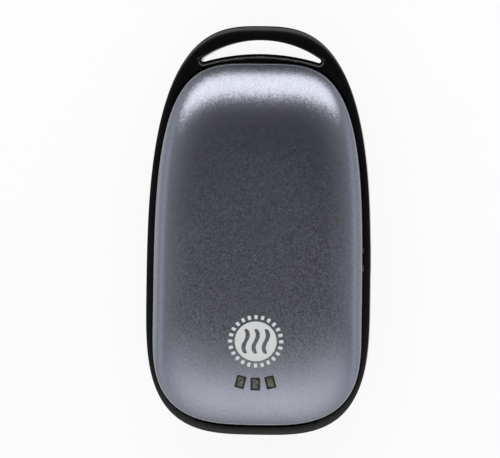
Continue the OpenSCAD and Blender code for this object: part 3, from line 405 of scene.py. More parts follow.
def trace(mesh, start, moves):
    """Face whose outline a point draws: it runs straight to a place, or turns about one by an angle."""
    first = tip = mesh.verts.new((*start, 0))
    for place, angle in moves:
        centre = Vector((*place, 0))
        if angle:
            run = abs(angle) * (tip.co - centre).length
            steps = max(2, math.ceil(abs(angle) / ARC_STEP), math.ceil(run / ARC_CHORD))
            made = bmesh.ops.spin(mesh, geom=[tip], cent=centre, axis=(0, 0, 1), angle=angle, steps=steps)
            tip = of_kind(made["geom_last"], bmesh.types.BMVert)[0]
        elif (centre - tip.co).length > SMALLEST:
            tip = bmesh.ops.extrude_vert_indiv(mesh, verts=[tip])["verts"][0]
            tip.co = centre
    if (tip.co - first.co).length < 10 * SMALLEST:
        bmesh.ops.pointmerge(mesh, verts=[tip, first], merge_co=first.co)
    else:
        mesh.edges.new((tip, first))
    return bmesh.ops.contextual_create(mesh, geom=mesh.edges[:])["faces"][0]


def rounded_box(mesh, width, height, radius):
    """Face with the outline of a rectangle with round corners, in the plane z = 0."""
    quarter = math.pi / 2
    x, y = width / 2 - radius, height / 2 - radius
    return trace(mesh, (x, -y - radius), [
        ((x, -y), quarter), ((x + radius, y), 0), ((x, y), quarter), ((-x, y + radius), 0),
        ((-x, y), quarter), ((-x - radius, -y), 0), ((-x, -y), quarter)])


def raise_face(mesh, face, height):
    """Makes a face into a closed bar of that height, and returns its far face."""
    grown = bmesh.ops.extrude_face_region(mesh, geom=[face], use_keep_orig=True)["geom"]
    bmesh.ops.translate(mesh, verts=of_kind(grown, bmesh.types.BMVert), vec=(0, 0, height))
    bmesh.ops.recalc_face_normals(mesh, faces=mesh.faces)
    return of_kind(grown, bmesh.types.BMFace)[0]


def bar(width, height, radius, low, high):
    """Bar along Z with the outline of a rounded rectangle."""
    mesh = bmesh.new()
    raise_face(mesh, rounded_box(mesh, width, height, radius), high - low)
    move(mesh, z=low)
    return mesh


def round_ended(width, height, low, high):
    """Bar along Z with half circles at its two narrow ends."""
    return bar(width, height, min(width, height) / 2 - SMALLEST, low, high)


def rod(radius, low, high, flat=0.01 * MM):
    """Round bar along Z, with next to nothing left of a square's flat sides."""
    return bar(2 * radius, 2 * radius, radius - flat, low, high)


def round_edges(mesh, edges, radius, segments):
    """Rounds edges to a radius."""
    bmesh.ops.bevel(mesh, geom=edges, offset=radius, offset_type="OFFSET", segments=segments, profile=0.5,
                    affect="EDGES", material=-1)


def sharp_edges(mesh, keep=lambda place: True, angle=40):
    """Edges whose faces meet at more than the angle, and whose middle passes the test."""
    return [edge for edge in mesh.edges
            if edge.calc_face_angle(0) > math.radians(angle)
            and keep((edge.verts[0].co + edge.verts[1].co) / 2)]


def finished(mesh, name="loose"):
    """Turns a bmesh, which is freed, into mesh data."""
    data = bpy.data.meshes.new(name)
    mesh.to_mesh(data)
    mesh.free()
    return data


def new_object(context, name, data):
    """New object in the scene."""
    made = bpy.data.objects.new(name, data)
    context.collection.objects.link(made)
    return made


def join(mesh, other):
    """Adds another mesh to this one."""
    data = finished(other)
    mesh.from_mesh(data)
    bpy.data.meshes.remove(data)


def cut(context, mesh, tool, operation="DIFFERENCE"):
    """The mesh with the tool taken out of it, or joined to it."""
    body = new_object(context, "loose", finished(mesh))
    cutter = new_object(context, "loose", finished(tool))
    boolean = body.modifiers.new("cut", "BOOLEAN")
    boolean.operation = operation
    boolean.solver = "EXACT"
    boolean.object = cutter
    result = bmesh.new()
    result.from_object(body, context.evaluated_depsgraph_get())
    for loose in (body, cutter):
        data = loose.data
        bpy.data.objects.remove(loose)
        bpy.data.meshes.remove(data)
    if not result.faces:
        raise RuntimeError("a cut left nothing")
    return result


def turned_over(mesh):
    """The mesh mirrored in the middle plane, so that what fits the front fits the back."""
    bmesh.ops.scale(mesh, verts=mesh.verts, vec=(1, 1, -1))
    move(mesh, z=thickness)
    bmesh.ops.reverse_faces(mesh, faces=mesh.faces)
    return mesh


def slice_up(mesh, axis, levels):
    """Cuts a mesh into slices square to an axis, so that it can bend."""
    for level in levels:
        parts = mesh.verts[:] + mesh.edges[:] + mesh.faces[:]
        bmesh.ops.bisect_plane(mesh, geom=parts, dist=SMALLEST, plane_co=axis * level, plane_no=axis)


def steps_between(low, high, count):
    """Levels that part a stretch into equal lengths, its ends left out."""
    return [low + (high - low) * step / count for step in range(1, count)]


def to_side(mesh):
    """Lays a bar that stands along Z down along X, with its X along Y and its Y along Z."""
    turn = Matrix(((0, 0, 1, 0), (1, 0, 0, 0), (0, 1, 0, 0), (0, 0, 0, 1)))
    bmesh.ops.transform(mesh, matrix=turn, verts=mesh.verts)


def to_foot(mesh):
    """Lays a bar that stands along Z down along Y, with its Y upright."""
    rotate(mesh, -math.pi / 2, "X")
    rotate(mesh, math.pi, "Y")


def add_piece(context, name, mesh, finish, body="housing", stands_for=(), sharp=35, weighted=False):
    """Makes a mesh into a finished piece that rides on a body."""
    for face in mesh.faces:
        face.smooth = True
    for edge in mesh.edges:
        edge.smooth = edge.calc_face_angle(0) < math.radians(sharp)
    data = finished(mesh, name)
    data.materials.append(bpy.data.materials[finish])
    piece = new_object(context, name, data)
    if weighted:
        modifier = piece.modifiers.new("Weighted normal", "WEIGHTED_NORMAL")
        modifier.keep_sharp = True
    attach(piece, body)
    if stands_for:
        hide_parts(*stands_for)


def node(tree, kind, inputs=None, **settings):
    """Adds a node with its settings. An input is a value, or the output or the node that it is linked to."""
    made = tree.nodes.new("ShaderNode" + kind)
    for key, value in settings.items():
        setattr(made, key, value)
    for key, value in (inputs or {}).items():
        source = value.outputs[0] if isinstance(value, bpy.types.Node) else value
        if isinstance(source, bpy.types.NodeSocket):
            tree.links.new(source, made.inputs[key])
        else:
            made.inputs[key].default_value = source
    return made


def new_finish(name):
    """Empty material, with its node tree and its object coordinates."""
    finish = bpy.data.materials.new(name)
    finish.use_nodes = True
    tree = finish.node_tree
    tree.nodes.clear()
    return finish, tree, node(tree, "TexCoord").outputs["Object"]


def shade(tree, inputs):
    """Principled shader with these inputs, linked to the material's output."""
    node(tree, "OutputMaterial", {"Surface": node(tree, "BsdfPrincipled", inputs)})


def scale_for(millimetres):
    """Scale at which a pattern repeats every so many millimetres."""
    return 1 / (millimetres * MM)


def mottled(tree, tint, pattern, low, high, span=(0, 1)):
    """The tint at a level that goes from low to high as a pattern goes over its span."""
    tone = node(tree, "MapRange", {
        "Value": pattern, "From Min": span[0], "From Max": span[1], "To Min": low, "To Max": high})
    return node(tree, "VectorMath", {0: tint, "Scale": tone}, operation="SCALE")


def rgba(tint, level=1.0):
    """Colour for a shader's socket, with its alpha."""
    return (*(min(1.0, part * level) for part in tint), 1)


def sprayed_aluminium(covers):
    """Metallic paint sprayed on drawn aluminium: a soft bright sheen with a fine flake in its shadows."""
    finish, tree, place = new_finish("sprayed_aluminium")
    # The flakes are drawn at 0.28 mm, coarser than real ones, so that they show
    flakes = node(tree, "TexVoronoi", {"Vector": place, "Scale": scale_for(0.28)})
    mist = node(tree, "TexNoise", {"Vector": place, "Scale": scale_for(9), "Detail": 3})
    chance = node(tree, "SeparateColor", {"Color": flakes.outputs["Color"]})
    paint = mottled(tree, covers.paint, chance.outputs["Red"], 0.93, 1.07)
    paint = mottled(tree, paint, mist, 0.95, 1.05)
    # Each flake lies a little askew
    askew = node(tree, "VectorMath", {0: flakes.outputs["Color"], 1: (0.5, 0.5, 0.5)}, operation="SUBTRACT")
    tilt = node(tree, "VectorMath", {0: askew, "Scale": 0.035}, operation="SCALE")
    normal = node(tree, "VectorMath", {0: node(tree, "NewGeometry").outputs["Normal"], 1: tilt})
    facing = node(tree, "VectorMath", {0: normal}, operation="NORMALIZE")
    # Flakes that stand on edge leave some of the paint's own matt grey to be seen
    metal = node(tree, "MapRange", {"Value": chance.outputs["Green"], "To Min": 0.85, "To Max": 1})
    shade(tree, {"Base Color": paint, "Metallic": metal, "Roughness": 0.2, "Normal": facing})
    return finish


def bare_aluminium(covers):
    """Aluminium where a punch has cut it: bright, with fine lines."""
    finish, tree, place = new_finish("bare_aluminium")
    lines = node(tree, "TexNoise", {"Vector": place, "Scale": scale_for(0.2), "Detail": 2})
    rough = node(tree, "MapRange", {"Value": lines, "To Min": 0.22, "To Max": 0.42})
    shade(tree, {"Base Color": rgba(covers.bare), "Metallic": 1, "Roughness": rough})
    return finish


def moulded_plastic(name, tint, roughness, texture, depth, gloss=0.5):
    """Injection-moulded plastic: the mould's spark-eroded texture breaks its gloss into a satin."""
    finish, tree, place = new_finish(name)
    grain = node(tree, "TexNoise", {"Vector": place, "Scale": scale_for(texture), "Detail": 3})
    flow = node(tree, "TexNoise", {"Vector": place, "Scale": scale_for(12), "Detail": 2})
    rough = node(tree, "MapRange", {
        "Value": flow, "To Min": roughness - 0.05, "To Max": roughness + 0.05})
    bump = node(tree, "Bump", {"Height": grain, "Distance": depth * MM, "Strength": 0.6})
    shade(tree, {"Base Color": mottled(tree, tint, flow, 0.9, 1.1), "Roughness": rough, "IOR": 1.53,
                 "Specular IOR Level": gloss, "Normal": bump})
    return finish


def smoked_polycarbonate(windows):
    """Smoked, diffusing polycarbonate: an uneven brown-grey, with the LEDs faint behind it."""
    finish, tree, place = new_finish("smoked_polycarbonate")
    cloud = node(tree, "TexNoise", {
        "Vector": place, "Scale": scale_for(0.9), "Detail": 4, "Roughness": 0.6})
    smoke = mottled(tree, windows.lens, cloud, 0.2, 2.2, span=(0.35, 0.65))
    shade(tree, {"Base Color": smoke, "Roughness": 0.25, "IOR": 1.58, "Transmission Weight": 0.3})
    return finish


def led_resin(windows):
    """Phosphor in clear resin over an LED: waxy yellow, a little mottled."""
    finish, tree, place = new_finish("led_resin")
    grains = node(tree, "TexNoise", {"Vector": place, "Scale": scale_for(0.3), "Detail": 3})
    resin = mottled(tree, windows.phosphor, grains, 0.7, 1.25)
    shade(tree, {"Base Color": resin, "Roughness": 0.35, "IOR": 1.5})
    return finish


def screen_ink(print_settings):
    """Screen-printed ink: flat, opaque and slightly uneven where the mesh laid it down."""
    finish, tree, place = new_finish("screen_ink")
    weave = node(tree, "TexNoise", {"Vector": place, "Scale": scale_for(0.25), "Detail": 2})
    shade(tree, {"Base Color": mottled(tree, print_settings.ink, weave, 0.93, 1.05), "Roughness": 0.5})
    return finish


def plated_metal(name, tint, roughness, streak):
    """Plated sheet or bar: bright, with faint lines from rolling or drawing along Y."""
    finish, tree, place = new_finish(name)
    along = node(tree, "Mapping", {"Vector": place, "Scale": (1, 0.06, 1)})
    lines = node(tree, "TexNoise", {"Vector": along, "Scale": scale_for(streak), "Detail": 3})
    rough = node(tree, "MapRange", {
        "Value": lines, "To Min": roughness - 0.07, "To Max": roughness + 0.07})
    shade(tree, {"Base Color": mottled(tree, tint, lines, 0.88, 1.08), "Metallic": 1, "Roughness": rough})
    return finish


def drawn_sleeve(name, tint, roughness):
    """Extruded or shrunk sleeve: smooth and glossy, with slow ripples."""
    finish, tree, place = new_finish(name)
    ripple = node(tree, "TexNoise", {"Vector": place, "Scale": scale_for(3), "Detail": 1})
    bump = node(tree, "Bump", {"Height": ripple, "Distance": 0.15 * MM, "Strength": 0.4})
    shade(tree, {"Base Color": mottled(tree, tint, ripple, 0.92, 1.06), "Roughness": roughness,
                 "Normal": bump})
    return finish


def cell_foam(name, tint):
    """Open-cell foam: soft and matt, pitted with pores."""
    finish, tree, place = new_finish(name)
    pores = node(tree, "TexVoronoi", {"Vector": place, "Scale": scale_for(0.35)})
    foam = mottled(tree, tint, pores, 1.1, 0.6, span=(0, 0.7))
    bump = node(tree, "Bump", {"Height": pores, "Distance": 0.1 * MM}, invert=True)
    shade(tree, {"Base Color": foam, "Roughness": 0.95, "Normal": bump})
    return finish


def solder_mask(name, tint, track):
    """Solder mask over copper tracks on woven glass: glossy, with the tracks as paler runs."""
    finish, tree, place = new_finish(name)
    runs = node(tree, "TexBrick", {
        "Vector": place, "Color1": rgba(tint), "Color2": rgba(tint, 0.9), "Mortar": rgba(track),
        "Scale": scale_for(4), "Mortar Size": 0.05, "Brick Width": 0.9, "Row Height": 0.3})
    bump = node(tree, "Bump", {"Height": runs.outputs["Fac"], "Distance": 0.03 * MM})
    shade(tree, {"Base Color": runs, "Roughness": 0.3, "Normal": bump})
    return finish


def heater_film(name, tint, track):
    """Polyimide film over an etched heating track: amber, with the track in close turns."""
    finish, tree, place = new_finish(name)
    turns = node(tree, "TexWave", {"Vector": place, "Scale": scale_for(8), "Distortion": 0},
                 bands_direction="X")
    edge = node(tree, "MapRange", {"Value": turns.outputs["Fac"], "From Min": 0.45, "From Max": 0.55})
    film = node(tree, "Mix", {0: edge, 6: rgba(tint), 7: rgba(track)}, data_type="RGBA")
    shade(tree, {"Base Color": film.outputs[2], "Roughness": 0.3})
    return finish


def fibre_paper(name, tint):
    """Pressed fibre paper: pale and matt, with short fibres."""
    finish, tree, place = new_finish(name)
    fibres = node(tree, "TexNoise", {
        "Vector": place, "Scale": scale_for(0.5), "Detail": 6, "Roughness": 0.7})
    shade(tree, {"Base Color": mottled(tree, tint, fibres, 0.85, 1.08), "Roughness": 0.85})
    return finish


def node_finishes(settings):
    """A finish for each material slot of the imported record."""
    plastic = settings.frame.plastic
    # After its colour, a plastic has its roughness and its texture's width and depth in millimetres,
    # a metal its roughness and the width of its lines, and a sleeve its roughness
    return {
        "cover_metal": sprayed_aluminium(settings.covers),
        "frame_black": moulded_plastic("satin_abs", plastic, 0.17, 0.22, 0.005, gloss=0.3),
        "chassis_grey": moulded_plastic("chassis_polycarbonate", linear("#54565A"), 0.5, 0.4, 0.03),
        "holder_black": moulded_plastic("filled_nylon", linear("#1B1B1C"), 0.55, 0.3, 0.03),
        "foam_grey": cell_foam("polyurethane_foam", linear("#5E6064")),
        "zinc_steel": plated_metal("zinc_plated_steel", linear("#C9CCD2"), 0.3, 0.3),
        "socket_steel": plated_metal("nickel_plated_steel", linear("#CFCFCD"), 0.22, 0.25),
        "nickel": plated_metal("rolled_nickel", linear("#BDB8AE"), 0.32, 0.2),
        "cell_sleeve": drawn_sleeve("shrink_sleeve", linear("#2F7F93"), 0.25),
        "insulator_paper": fibre_paper("fibre_paper", linear("#E6DFCB")),
        "board_green": solder_mask("green_solder_mask", linear("#14532A"), linear("#2C7A45")),
        "board_white": solder_mask("white_solder_mask", linear("#DADAD4"), linear("#C9C6B4")),
        "socket_white": moulded_plastic("socket_polymer", linear("#E8E7E0"), 0.45, 0.3, 0.01),
        "contact_gold": plated_metal("gold_flash", linear("#E3B95C"), 0.2, 0.1),
        "part_black": moulded_plastic("epoxy_compound", linear("#1E1E20"), 0.6, 0.15, 0.02),
        "ferrite": moulded_plastic("sintered_ferrite", linear("#3A3A3E"), 0.7, 0.25, 0.05),
        "can_aluminium": plated_metal("drawn_aluminium_can", linear("#D2D3D5"), 0.28, 0.3),
        "led_body": led_resin(settings.windows),
        "lens_smoke": smoked_polycarbonate(settings.windows),
        "heater_film": heater_film("polyimide_film", linear("#C9791E"), linear("#8E4B1A")),
        "plunger_ivory": moulded_plastic("acetal", linear("#DCD6C4"), 0.35, 0.3, 0.01),
        "lead_red": drawn_sleeve("red_silicone_sleeve", linear("#B3201B"), 0.5),
        "lead_black": drawn_sleeve("black_silicone_sleeve", linear("#1A1A1A"), 0.5),
        "lead_yellow": drawn_sleeve("yellow_vinyl_sleeve", linear("#D9BE3C"), 0.35),
        "lead_white": drawn_sleeve("white_vinyl_sleeve", linear("#DCDCDA"), 0.35),
    }


class HANDWARMER_OT_finishes(bpy.types.Operator):
    """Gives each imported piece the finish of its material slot"""

    bl_idname = "hand_warmer.finishes"
    bl_label = "Finishes"

    def execute(self, context):
        settings = context.scene.hand_warmer
        finishes = node_finishes(settings)
        # These two are only on pieces that this file adds
        bare_aluminium(settings.covers)
        screen_ink(settings.print)
        for row in frame["record"]["subparts"]:
            for slot in frame["nodes"][row["node"]].material_slots:
                slot.material = finishes[row["material_slot"]]
        return {"FINISHED"}


def window_places(windows):
    """Turn and move that bring a window from the origin to each of its three places."""
    step = math.asin(windows.pitch / windows.arc)
    centre = Matrix.Translation((0, led_level + windows.arc, 0))
    for count in (-1, 0, 1):
        yield centre @ Matrix.Rotation(count * step, 4, "Z") @ Matrix.Translation((0, -windows.arc, 0))


def window_hole(windows):
    """Width, length and corner radius of the hole in the cover for a window and its bare edge."""
    return windows.width + 2 * windows.rim, windows.height + 2 * windows.rim, windows.corner + windows.rim


def cover_shell(context):
    """Front cover without its windows: a crown over an upright skirt, one wall thick."""
    covers = context.scene.hand_warmer.covers
    outline = cover_outline(context)
    shares = [covers.roll_start + (1 - covers.roll_start) * math.sin(turn)
              for turn in quarter_turn(ROLL_STEPS)[:0:-1]]
    shares += [covers.roll_start * math.sin(turn) for turn in quarter_turn(CROWN_STEPS)[:CAP_STEPS:-1]]
    levels = [(outline, 1, cover_low.z), *((outline, share, crown(context, share)) for share in shares)]
    mesh = bmesh.new()
    cap(mesh, loft(mesh, levels)[1])
    bmesh.ops.solidify(mesh, geom=mesh.faces[:], thickness=covers.wall)
    bmesh.ops.recalc_face_normals(mesh, faces=mesh.faces)
    return mesh


def window_punch(windows):
    """Three bars that cut the windows and their bare edges out of the cover."""
    punch = bmesh.new()
    for place in window_places(windows):
        tool = bar(*window_hole(windows), body_high.z, thickness + MM)
        bmesh.ops.transform(tool, matrix=place, verts=tool.verts)
        join(punch, tool)
    return punch


class HANDWARMER_OT_covers(bpy.types.Operator):
    """Builds the two pillow-shaped covers, with the windows cut through the front one"""

    bl_idname = "hand_warmer.covers"
    bl_label = "Covers"

    def execute(self, context):
        front = cut(context, cover_shell(context), window_punch(context.scene.hand_warmer.windows))
        add_piece(context, "front_cover_shell", front, "sprayed_aluminium",
                  stands_for=["front_cover"])
        add_piece(context, "back_cover_shell", turned_over(cover_shell(context)), "sprayed_aluminium",
                  stands_for=["back_cover"])
        return {"FINISHED"}


def slot_outline(f, mesh):
    """Face with the outline of the loop's slot: an upper arc, a lower arc and two round tips."""
    top = body_high.y - f.bar_width
    upper_centre = top - f.slot_upper
    lower_centre = top - f.slot_height - f.slot_lower
    upper_run = f.slot_upper - f.slot_tip
    lower_run = f.slot_lower + f.slot_tip
    rise = (lower_run ** 2 - upper_run ** 2) / (upper_centre - lower_centre)
    tip_y = (rise + upper_centre + lower_centre) / 2
    tip_x = math.sqrt(upper_run ** 2 - (tip_y - upper_centre) ** 2)
    upper = math.atan2(tip_y - upper_centre, tip_x)
    lower = math.atan2(tip_y - lower_centre, tip_x)
    sweep = math.pi - lower + upper
    start = (f.slot_upper * math.cos(upper), upper_centre + f.slot_upper * math.sin(upper))
    return trace(mesh, start, [
        ((0, upper_centre), math.pi - 2 * upper), ((-tip_x, tip_y), sweep),
        ((0, lower_centre), 2 * lower - math.pi), ((tip_x, tip_y), sweep)])


def slot_tool(context):
    """The loop's slot, which opens out towards both faces: widely at its lower edge and its tips."""
    f = context.scene.hand_warmer.frame
    mesh = bmesh.new()
    index = mesh.verts.layers.int.new("index")
    face = slot_outline(f, mesh)
    face.normal_update()
    ring, rounds = [], []
    for loop in face.loops:
        along = loop.link_loop_next.vert.co - loop.link_loop_prev.vert.co
        out = along.cross(face.normal).normalized()
        radius = f.slot_round * min(1.0, f.bar_break + (1 - f.bar_break) * (1 - out.y))
        loop.vert[index] = len(rounds)
        ring.append(loop.vert)
        rounds.append((loop.vert.co.copy(), out * radius, radius, f.bar_lean * max(0.0, out.y)))
    first = edges = face.edges[:]
    mesh.faces.remove(face)
    levels = [(-1, MM, 0), *((side, 0, turn) for side, turn in both_faces(EDGE_STEPS)), (1, MM, 0)]
    for count, (side, beyond, turn) in enumerate(levels):
        if count:
            edges, ring = next_ring(mesh, edges)
        for vert in ring:
            spot, out, radius, lean = rounds[vert[index]]
            vert.co = spot + out * (1 - math.sin(turn))
            vert.co.z = mid_z + side * (half_band + beyond - radius * (1 - math.cos(turn)))
            vert.co.y += lean * min(1.0, max(0.0, (mid_z + half_band - vert.co.z) / (2 * half_band)))
    cap(mesh, first, edges)
    return mesh


def pocket_tool(context):
    """What is cut out of the frame: a pocket for each cover, and the room between their ledges."""
    settings = context.scene.hand_warmer
    pocket = cover_outline(context, -settings.covers.gap)
    room = cover_outline(context, settings.frame.ledge_width)
    low_ledge = thickness - seat_low.z
    mesh = bmesh.new()
    ends = loft(mesh, [(pocket, 1, 0), (pocket, 1, low_ledge), (room, 1, low_ledge),
                       (room, 1, seat_low.z), (pocket, 1, seat_low.z), (pocket, 1, thickness)])
    cap(mesh, *ends)
    return mesh


def screw_lugs(context, mesh):
    """Adds the four lugs that the case screws clamp."""
    f = context.scene.hand_warmer.frame
    wall = cover_outline(context, f.ledge_width / 2)
    screw_low, screw_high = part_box("case_screws")
    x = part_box("front_plate")[1].x - f.screw_inset
    radius = f.screw_hole + f.lug_wall
    for side in (-1, 1):
        for y in (screw_low.y + f.screw_head, screw_high.y - f.screw_head):
            lug = rod(radius, mid_z - f.lug_height / 2, mid_z + f.lug_height / 2, flat=0.01 * radius)
            arm = bmesh.new()
            bmesh.ops.create_cube(arm, size=1)
            reach = wall.reach(y) - x
            bmesh.ops.scale(arm, vec=(reach, 2 * radius, f.lug_height), verts=arm.verts)
            move(arm, reach / 2, 0, mid_z)
            lug = cut(context, lug, arm, "UNION")
            lug = cut(context, lug, rod(f.screw_hole, 0, thickness))
            move(lug, x, y)
            if side < 0:
                bmesh.ops.scale(lug, vec=(-1, 1, 1), verts=lug.verts)
                bmesh.ops.reverse_faces(lug, faces=lug.faces)
            mesh = cut(context, mesh, lug, "UNION")
    return mesh


def button_opening(context, mesh):
    """Cuts the button's opening through the frame's right side, and rounds its mouth."""
    b = context.scene.hand_warmer.button
    hole_start, hole_end = 20 * MM, 40 * MM
    hole = round_ended(b.cap_length + 2 * b.clearance, b.cap_height + 2 * b.clearance, hole_start, hole_end)
    to_side(hole)
    move(hole, 0, button_level, mid_z)
    mesh = cut(context, mesh, hole)
    # The mouth is at the outer end, so the edges further in than this stay sharp
    depth = body_high.x - 0.65 * MM
    near = b.cap_length / 2 + MM
    mouth = sharp_edges(mesh, lambda place: place.x > depth and abs(place.y - button_level) < near)
    round_edges(mesh, mouth, b.mouth_break, segments=3)
    return mesh


def socket_openings(context, mesh):
    """Cuts the sockets' openings into the frame's lower end, and rounds their mouths."""
    s = context.scene.hand_warmer.sockets
    beyond = 3 * MM
    for name in SOCKETS:
        low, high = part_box(name)
        size = high - low
        middle = (low + high) / 2
        hole = bar(size.x + 2 * s.clearance, size.z + 2 * s.clearance, s.corner, -beyond, size.y)
        to_foot(hole)
        move(hole, middle.x, low.y, middle.z)
        mesh = cut(context, mesh, hole)
        near = size.x / 2 + 0.5 * MM
        mouth = sharp_edges(mesh, lambda place: place.y < low.y and abs(place.x - middle.x) < near)
        round_edges(mesh, mouth, s.mouth_break, segments=3)
    return mesh


def slim_loop(settings, mesh):
    """Slims the frame evenly to both sides, from the upper end of the covers to the end of the loop."""
    start = seat_high.y + settings.covers.gap
    slimmer = 1 - settings.frame.loop_thickness / (2 * half_band)
    slice_up(mesh, ALONG, [start, *steps_between(start, body_high.y, LOOP_STEPS)])
    for vert in mesh.verts:
        run = min(1.0, max(0.0, (vert.co.y - start) / (body_high.y - start)))
        vert.co.z = mid_z + (vert.co.z - mid_z) * (1 - slimmer * run ** 3)


class HANDWARMER_OT_frame(bpy.types.Operator):
    """Builds the moulded frame with its carrying loop, button opening and socket openings"""

    bl_idname = "hand_warmer.frame"
    bl_label = "Frame"

    def execute(self, context):
        settings = context.scene.hand_warmer
        f = settings.frame
        mesh = bmesh.new()
        cap(mesh, *loft(mesh, [
            (body_outline(context, f.edge_width * (1 - math.sin(turn))), 1,
             mid_z + side * (half_band - f.edge_drop * (1 - math.cos(turn))))
            for side, turn in both_faces(FACE_STEPS)]))
        mesh = cut(context, mesh, slot_tool(context))
        mesh = cut(context, mesh, pocket_tool(context))
        faces = (body_low.z, body_high.z)
        rim = sharp_edges(mesh, lambda place: min(abs(place.z - z) for z in faces) < SMALLEST)
        round_edges(mesh, rim, f.rim_break, segments=2)
        mesh = screw_lugs(context, mesh)
        mesh = button_opening(context, mesh)
        mesh = socket_openings(context, mesh)
        slim_loop(settings, mesh)
        add_piece(context, "frame_moulding", mesh, "satin_abs",
                  stands_for=["mid_frame"], weighted=True)
        return {"FINISHED"}


def drape(context, mesh):
    """Lifts a mesh so that its plane z = 0 follows the crown of the front cover."""
    for vert in mesh.verts:
        vert.co.z += crown_height(context, vert.co.x, vert.co.y)


def window_rim(context, w):
    """Bare edge round a window, which stands a hair over the paint and turns down into its throat."""
    width, height, corner = window_hole(w)
    proud = 0.01 * MM
    rim = cut(context, bar(width, height, corner, -w.rim_depth, proud),
              bar(w.width, w.height, w.corner, -MM, MM))
    throat = sharp_edges(rim, lambda spot: spot.z > 0 and abs(spot.x) < (width - w.rim) / 2
                         and abs(spot.y) < (height - w.rim) / 2)
    round_edges(rim, throat, w.throat, segments=5)
    return rim


def lens_hole(w):
    """Width, length and corner radius of the hole for a lens in its dark border, which is painted shade for
    the shadowed gap round the lens.
    """
    return w.width - 2 * w.shade_border, w.height - 2 * w.shade_border, w.corner


def window_shade_border(context, w):
    """Dark border round a lens, just under the window's bare edge: painted shade, a dark frame that stands
    for the shadowed gap round the lens.
    """
    gap = 0.02 * MM
    shade_border = bar(*window_hole(w), -w.shade_border_depth, -w.rim_depth - gap)
    return cut(context, shade_border, bar(*lens_hole(w), -w.shade_border_depth - MM, MM))


def window_lens(w):
    """Lens with a soft edge, which reaches down to the strip that joins the three."""
    width, height, corner = lens_hole(w)
    lens = bar(width - w.clearance, height - w.clearance, corner, -w.lens_depth, -w.recess)
    top_edges = sharp_edges(lens, lambda spot: spot.z > -w.recess - SMALLEST)
    round_edges(lens, top_edges, w.lens_edge, segments=4)
    return lens


def indicator_led(w):
    """LED in its resin, which stands on the indicator board."""
    top = board_high.z + w.led_height
    led = bar(w.led_width, w.led_length, w.led_edge, board_high.z, top)
    top_edges = sharp_edges(led, lambda spot: spot.z > top - w.led_edge)
    round_edges(led, top_edges, w.led_edge, segments=3)
    return led


class HANDWARMER_OT_windows(bpy.types.Operator):
    """Builds the windows' bare edges, the dark borders of painted shade round the lenses, the light guide
    with its lenses and the LEDs
    """

    bl_idname = "hand_warmer.windows"
    bl_label = "Windows"

    def execute(self, context):
        w = context.scene.hand_warmer.windows
        rims, shade_borders, lenses, leds = (bmesh.new() for _ in range(4))
        for place in window_places(w):
            for whole, part in ((rims, window_rim(context, w)), (shade_borders, window_shade_border(context, w)),
                                (lenses, window_lens(w)), (leds, indicator_led(w))):
                bmesh.ops.transform(part, matrix=place, verts=part.verts)
                join(whole, part)
        for part in (rims, shade_borders, lenses):
            drape(context, part)
        strip = bar(guide_high.x - guide_low.x, w.strip_length, w.strip_corner,
                    guide_low.z, guide_low.z + w.strip)
        move(strip, 0, led_level)
        guide = cut(context, strip, lenses, "UNION")
        add_piece(context, "window_edges", rims, "bare_aluminium")
        # The dark borders are painted shade for the shadowed gaps round the lenses
        add_piece(context, "window_shade_borders", shade_borders, "satin_abs")
        add_piece(context, "window_lenses", guide, "smoked_polycarbonate",
                  stands_for=["light_guide"])
        add_piece(context, "indicator_leds", leds, "led_resin", stands_for=["status_leds"])
        return {"FINISHED"}


def heat_wave(p):
    """Bar in the shape of one heat wave, which is taken out of the print's disc."""
    wave = round_ended(p.wave_width, p.wave_length, -MM, MM)
    slice_up(wave, ALONG, steps_between(-p.wave_length / 2, p.wave_length / 2, WAVE_STEPS))
    for vert in wave.verts:
        vert.co.x += p.wave_swing * math.sin(2 * math.pi * vert.co.y / p.wave_length)
    return wave


class HANDWARMER_OT_print(bpy.types.Operator):
    """Lays the print on the front cover: a disc with rays round it and three heat waves left out of it"""

    bl_idname = "hand_warmer.print"
    bl_label = "Print"

    def execute(self, context):
        p = context.scene.hand_warmer.print
        lift = 0.004 * MM
        ink = bmesh.new()
        bmesh.ops.create_circle(ink, cap_ends=True, segments=DISC_STEPS, radius=p.disc / 2)
        raise_face(ink, ink.faces[:][0], p.film)
        for count in (-1, 0, 1):
            wave = heat_wave(p)
            move(wave, count * p.wave_pitch)
            ink = cut(context, ink, wave)
        for count in range(p.rays):
            ray = bar(p.ray_length, p.ray_width, p.ray_corner, 0, p.film)
            move(ray, (p.width - p.ray_length) / 2)
            rotate(ray, 2 * math.pi * count / p.rays, "Z")
            join(ink, ray)
        for axis in (ACROSS, ALONG):
            slice_up(ink, axis, steps_between(-p.width / 2, p.width / 2, DRAPE_STEPS))
        bmesh.ops.scale(ink, verts=ink.verts, vec=(1, p.height / p.width, 1))
        move(ink, p.across, body_low.y + p.level, lift)
        drape(context, ink)
        add_piece(context, "round_print", ink, "screen_ink")
        return {"FINISHED"}


class HANDWARMER_OT_tabs(bpy.types.Operator):
    """Builds the small bare tabs along the covers' sides"""

    bl_idname = "hand_warmer.tabs"
    bl_label = "Edge tabs"

    def execute(self, context):
        c = context.scene.hand_warmer.covers
        outline = cover_outline(context)
        corner, edge = 0.05 * MM, 0.04 * MM
        tabs = bmesh.new()
        for y in TAB_LEVELS:
            for side in (-1, 1):
                tab = bar(2 * c.tab_reach, c.tab_length, corner, -c.tab_height / 2, c.tab_height / 2)
                round_edges(tab, sharp_edges(tab), edge, segments=2)
                slope = math.atan2(outline.reach(y - MM) - outline.reach(y + MM), 2 * MM)
                rotate(tab, side * slope, "Z")
                move(tab, side * outline.reach(y), y, (cover_low.z + body_high.z) / 2)
                join(tabs, tab)
        add_piece(context, "cover_edge_tabs", tabs, "bare_aluminium")
        return {"FINISHED"}


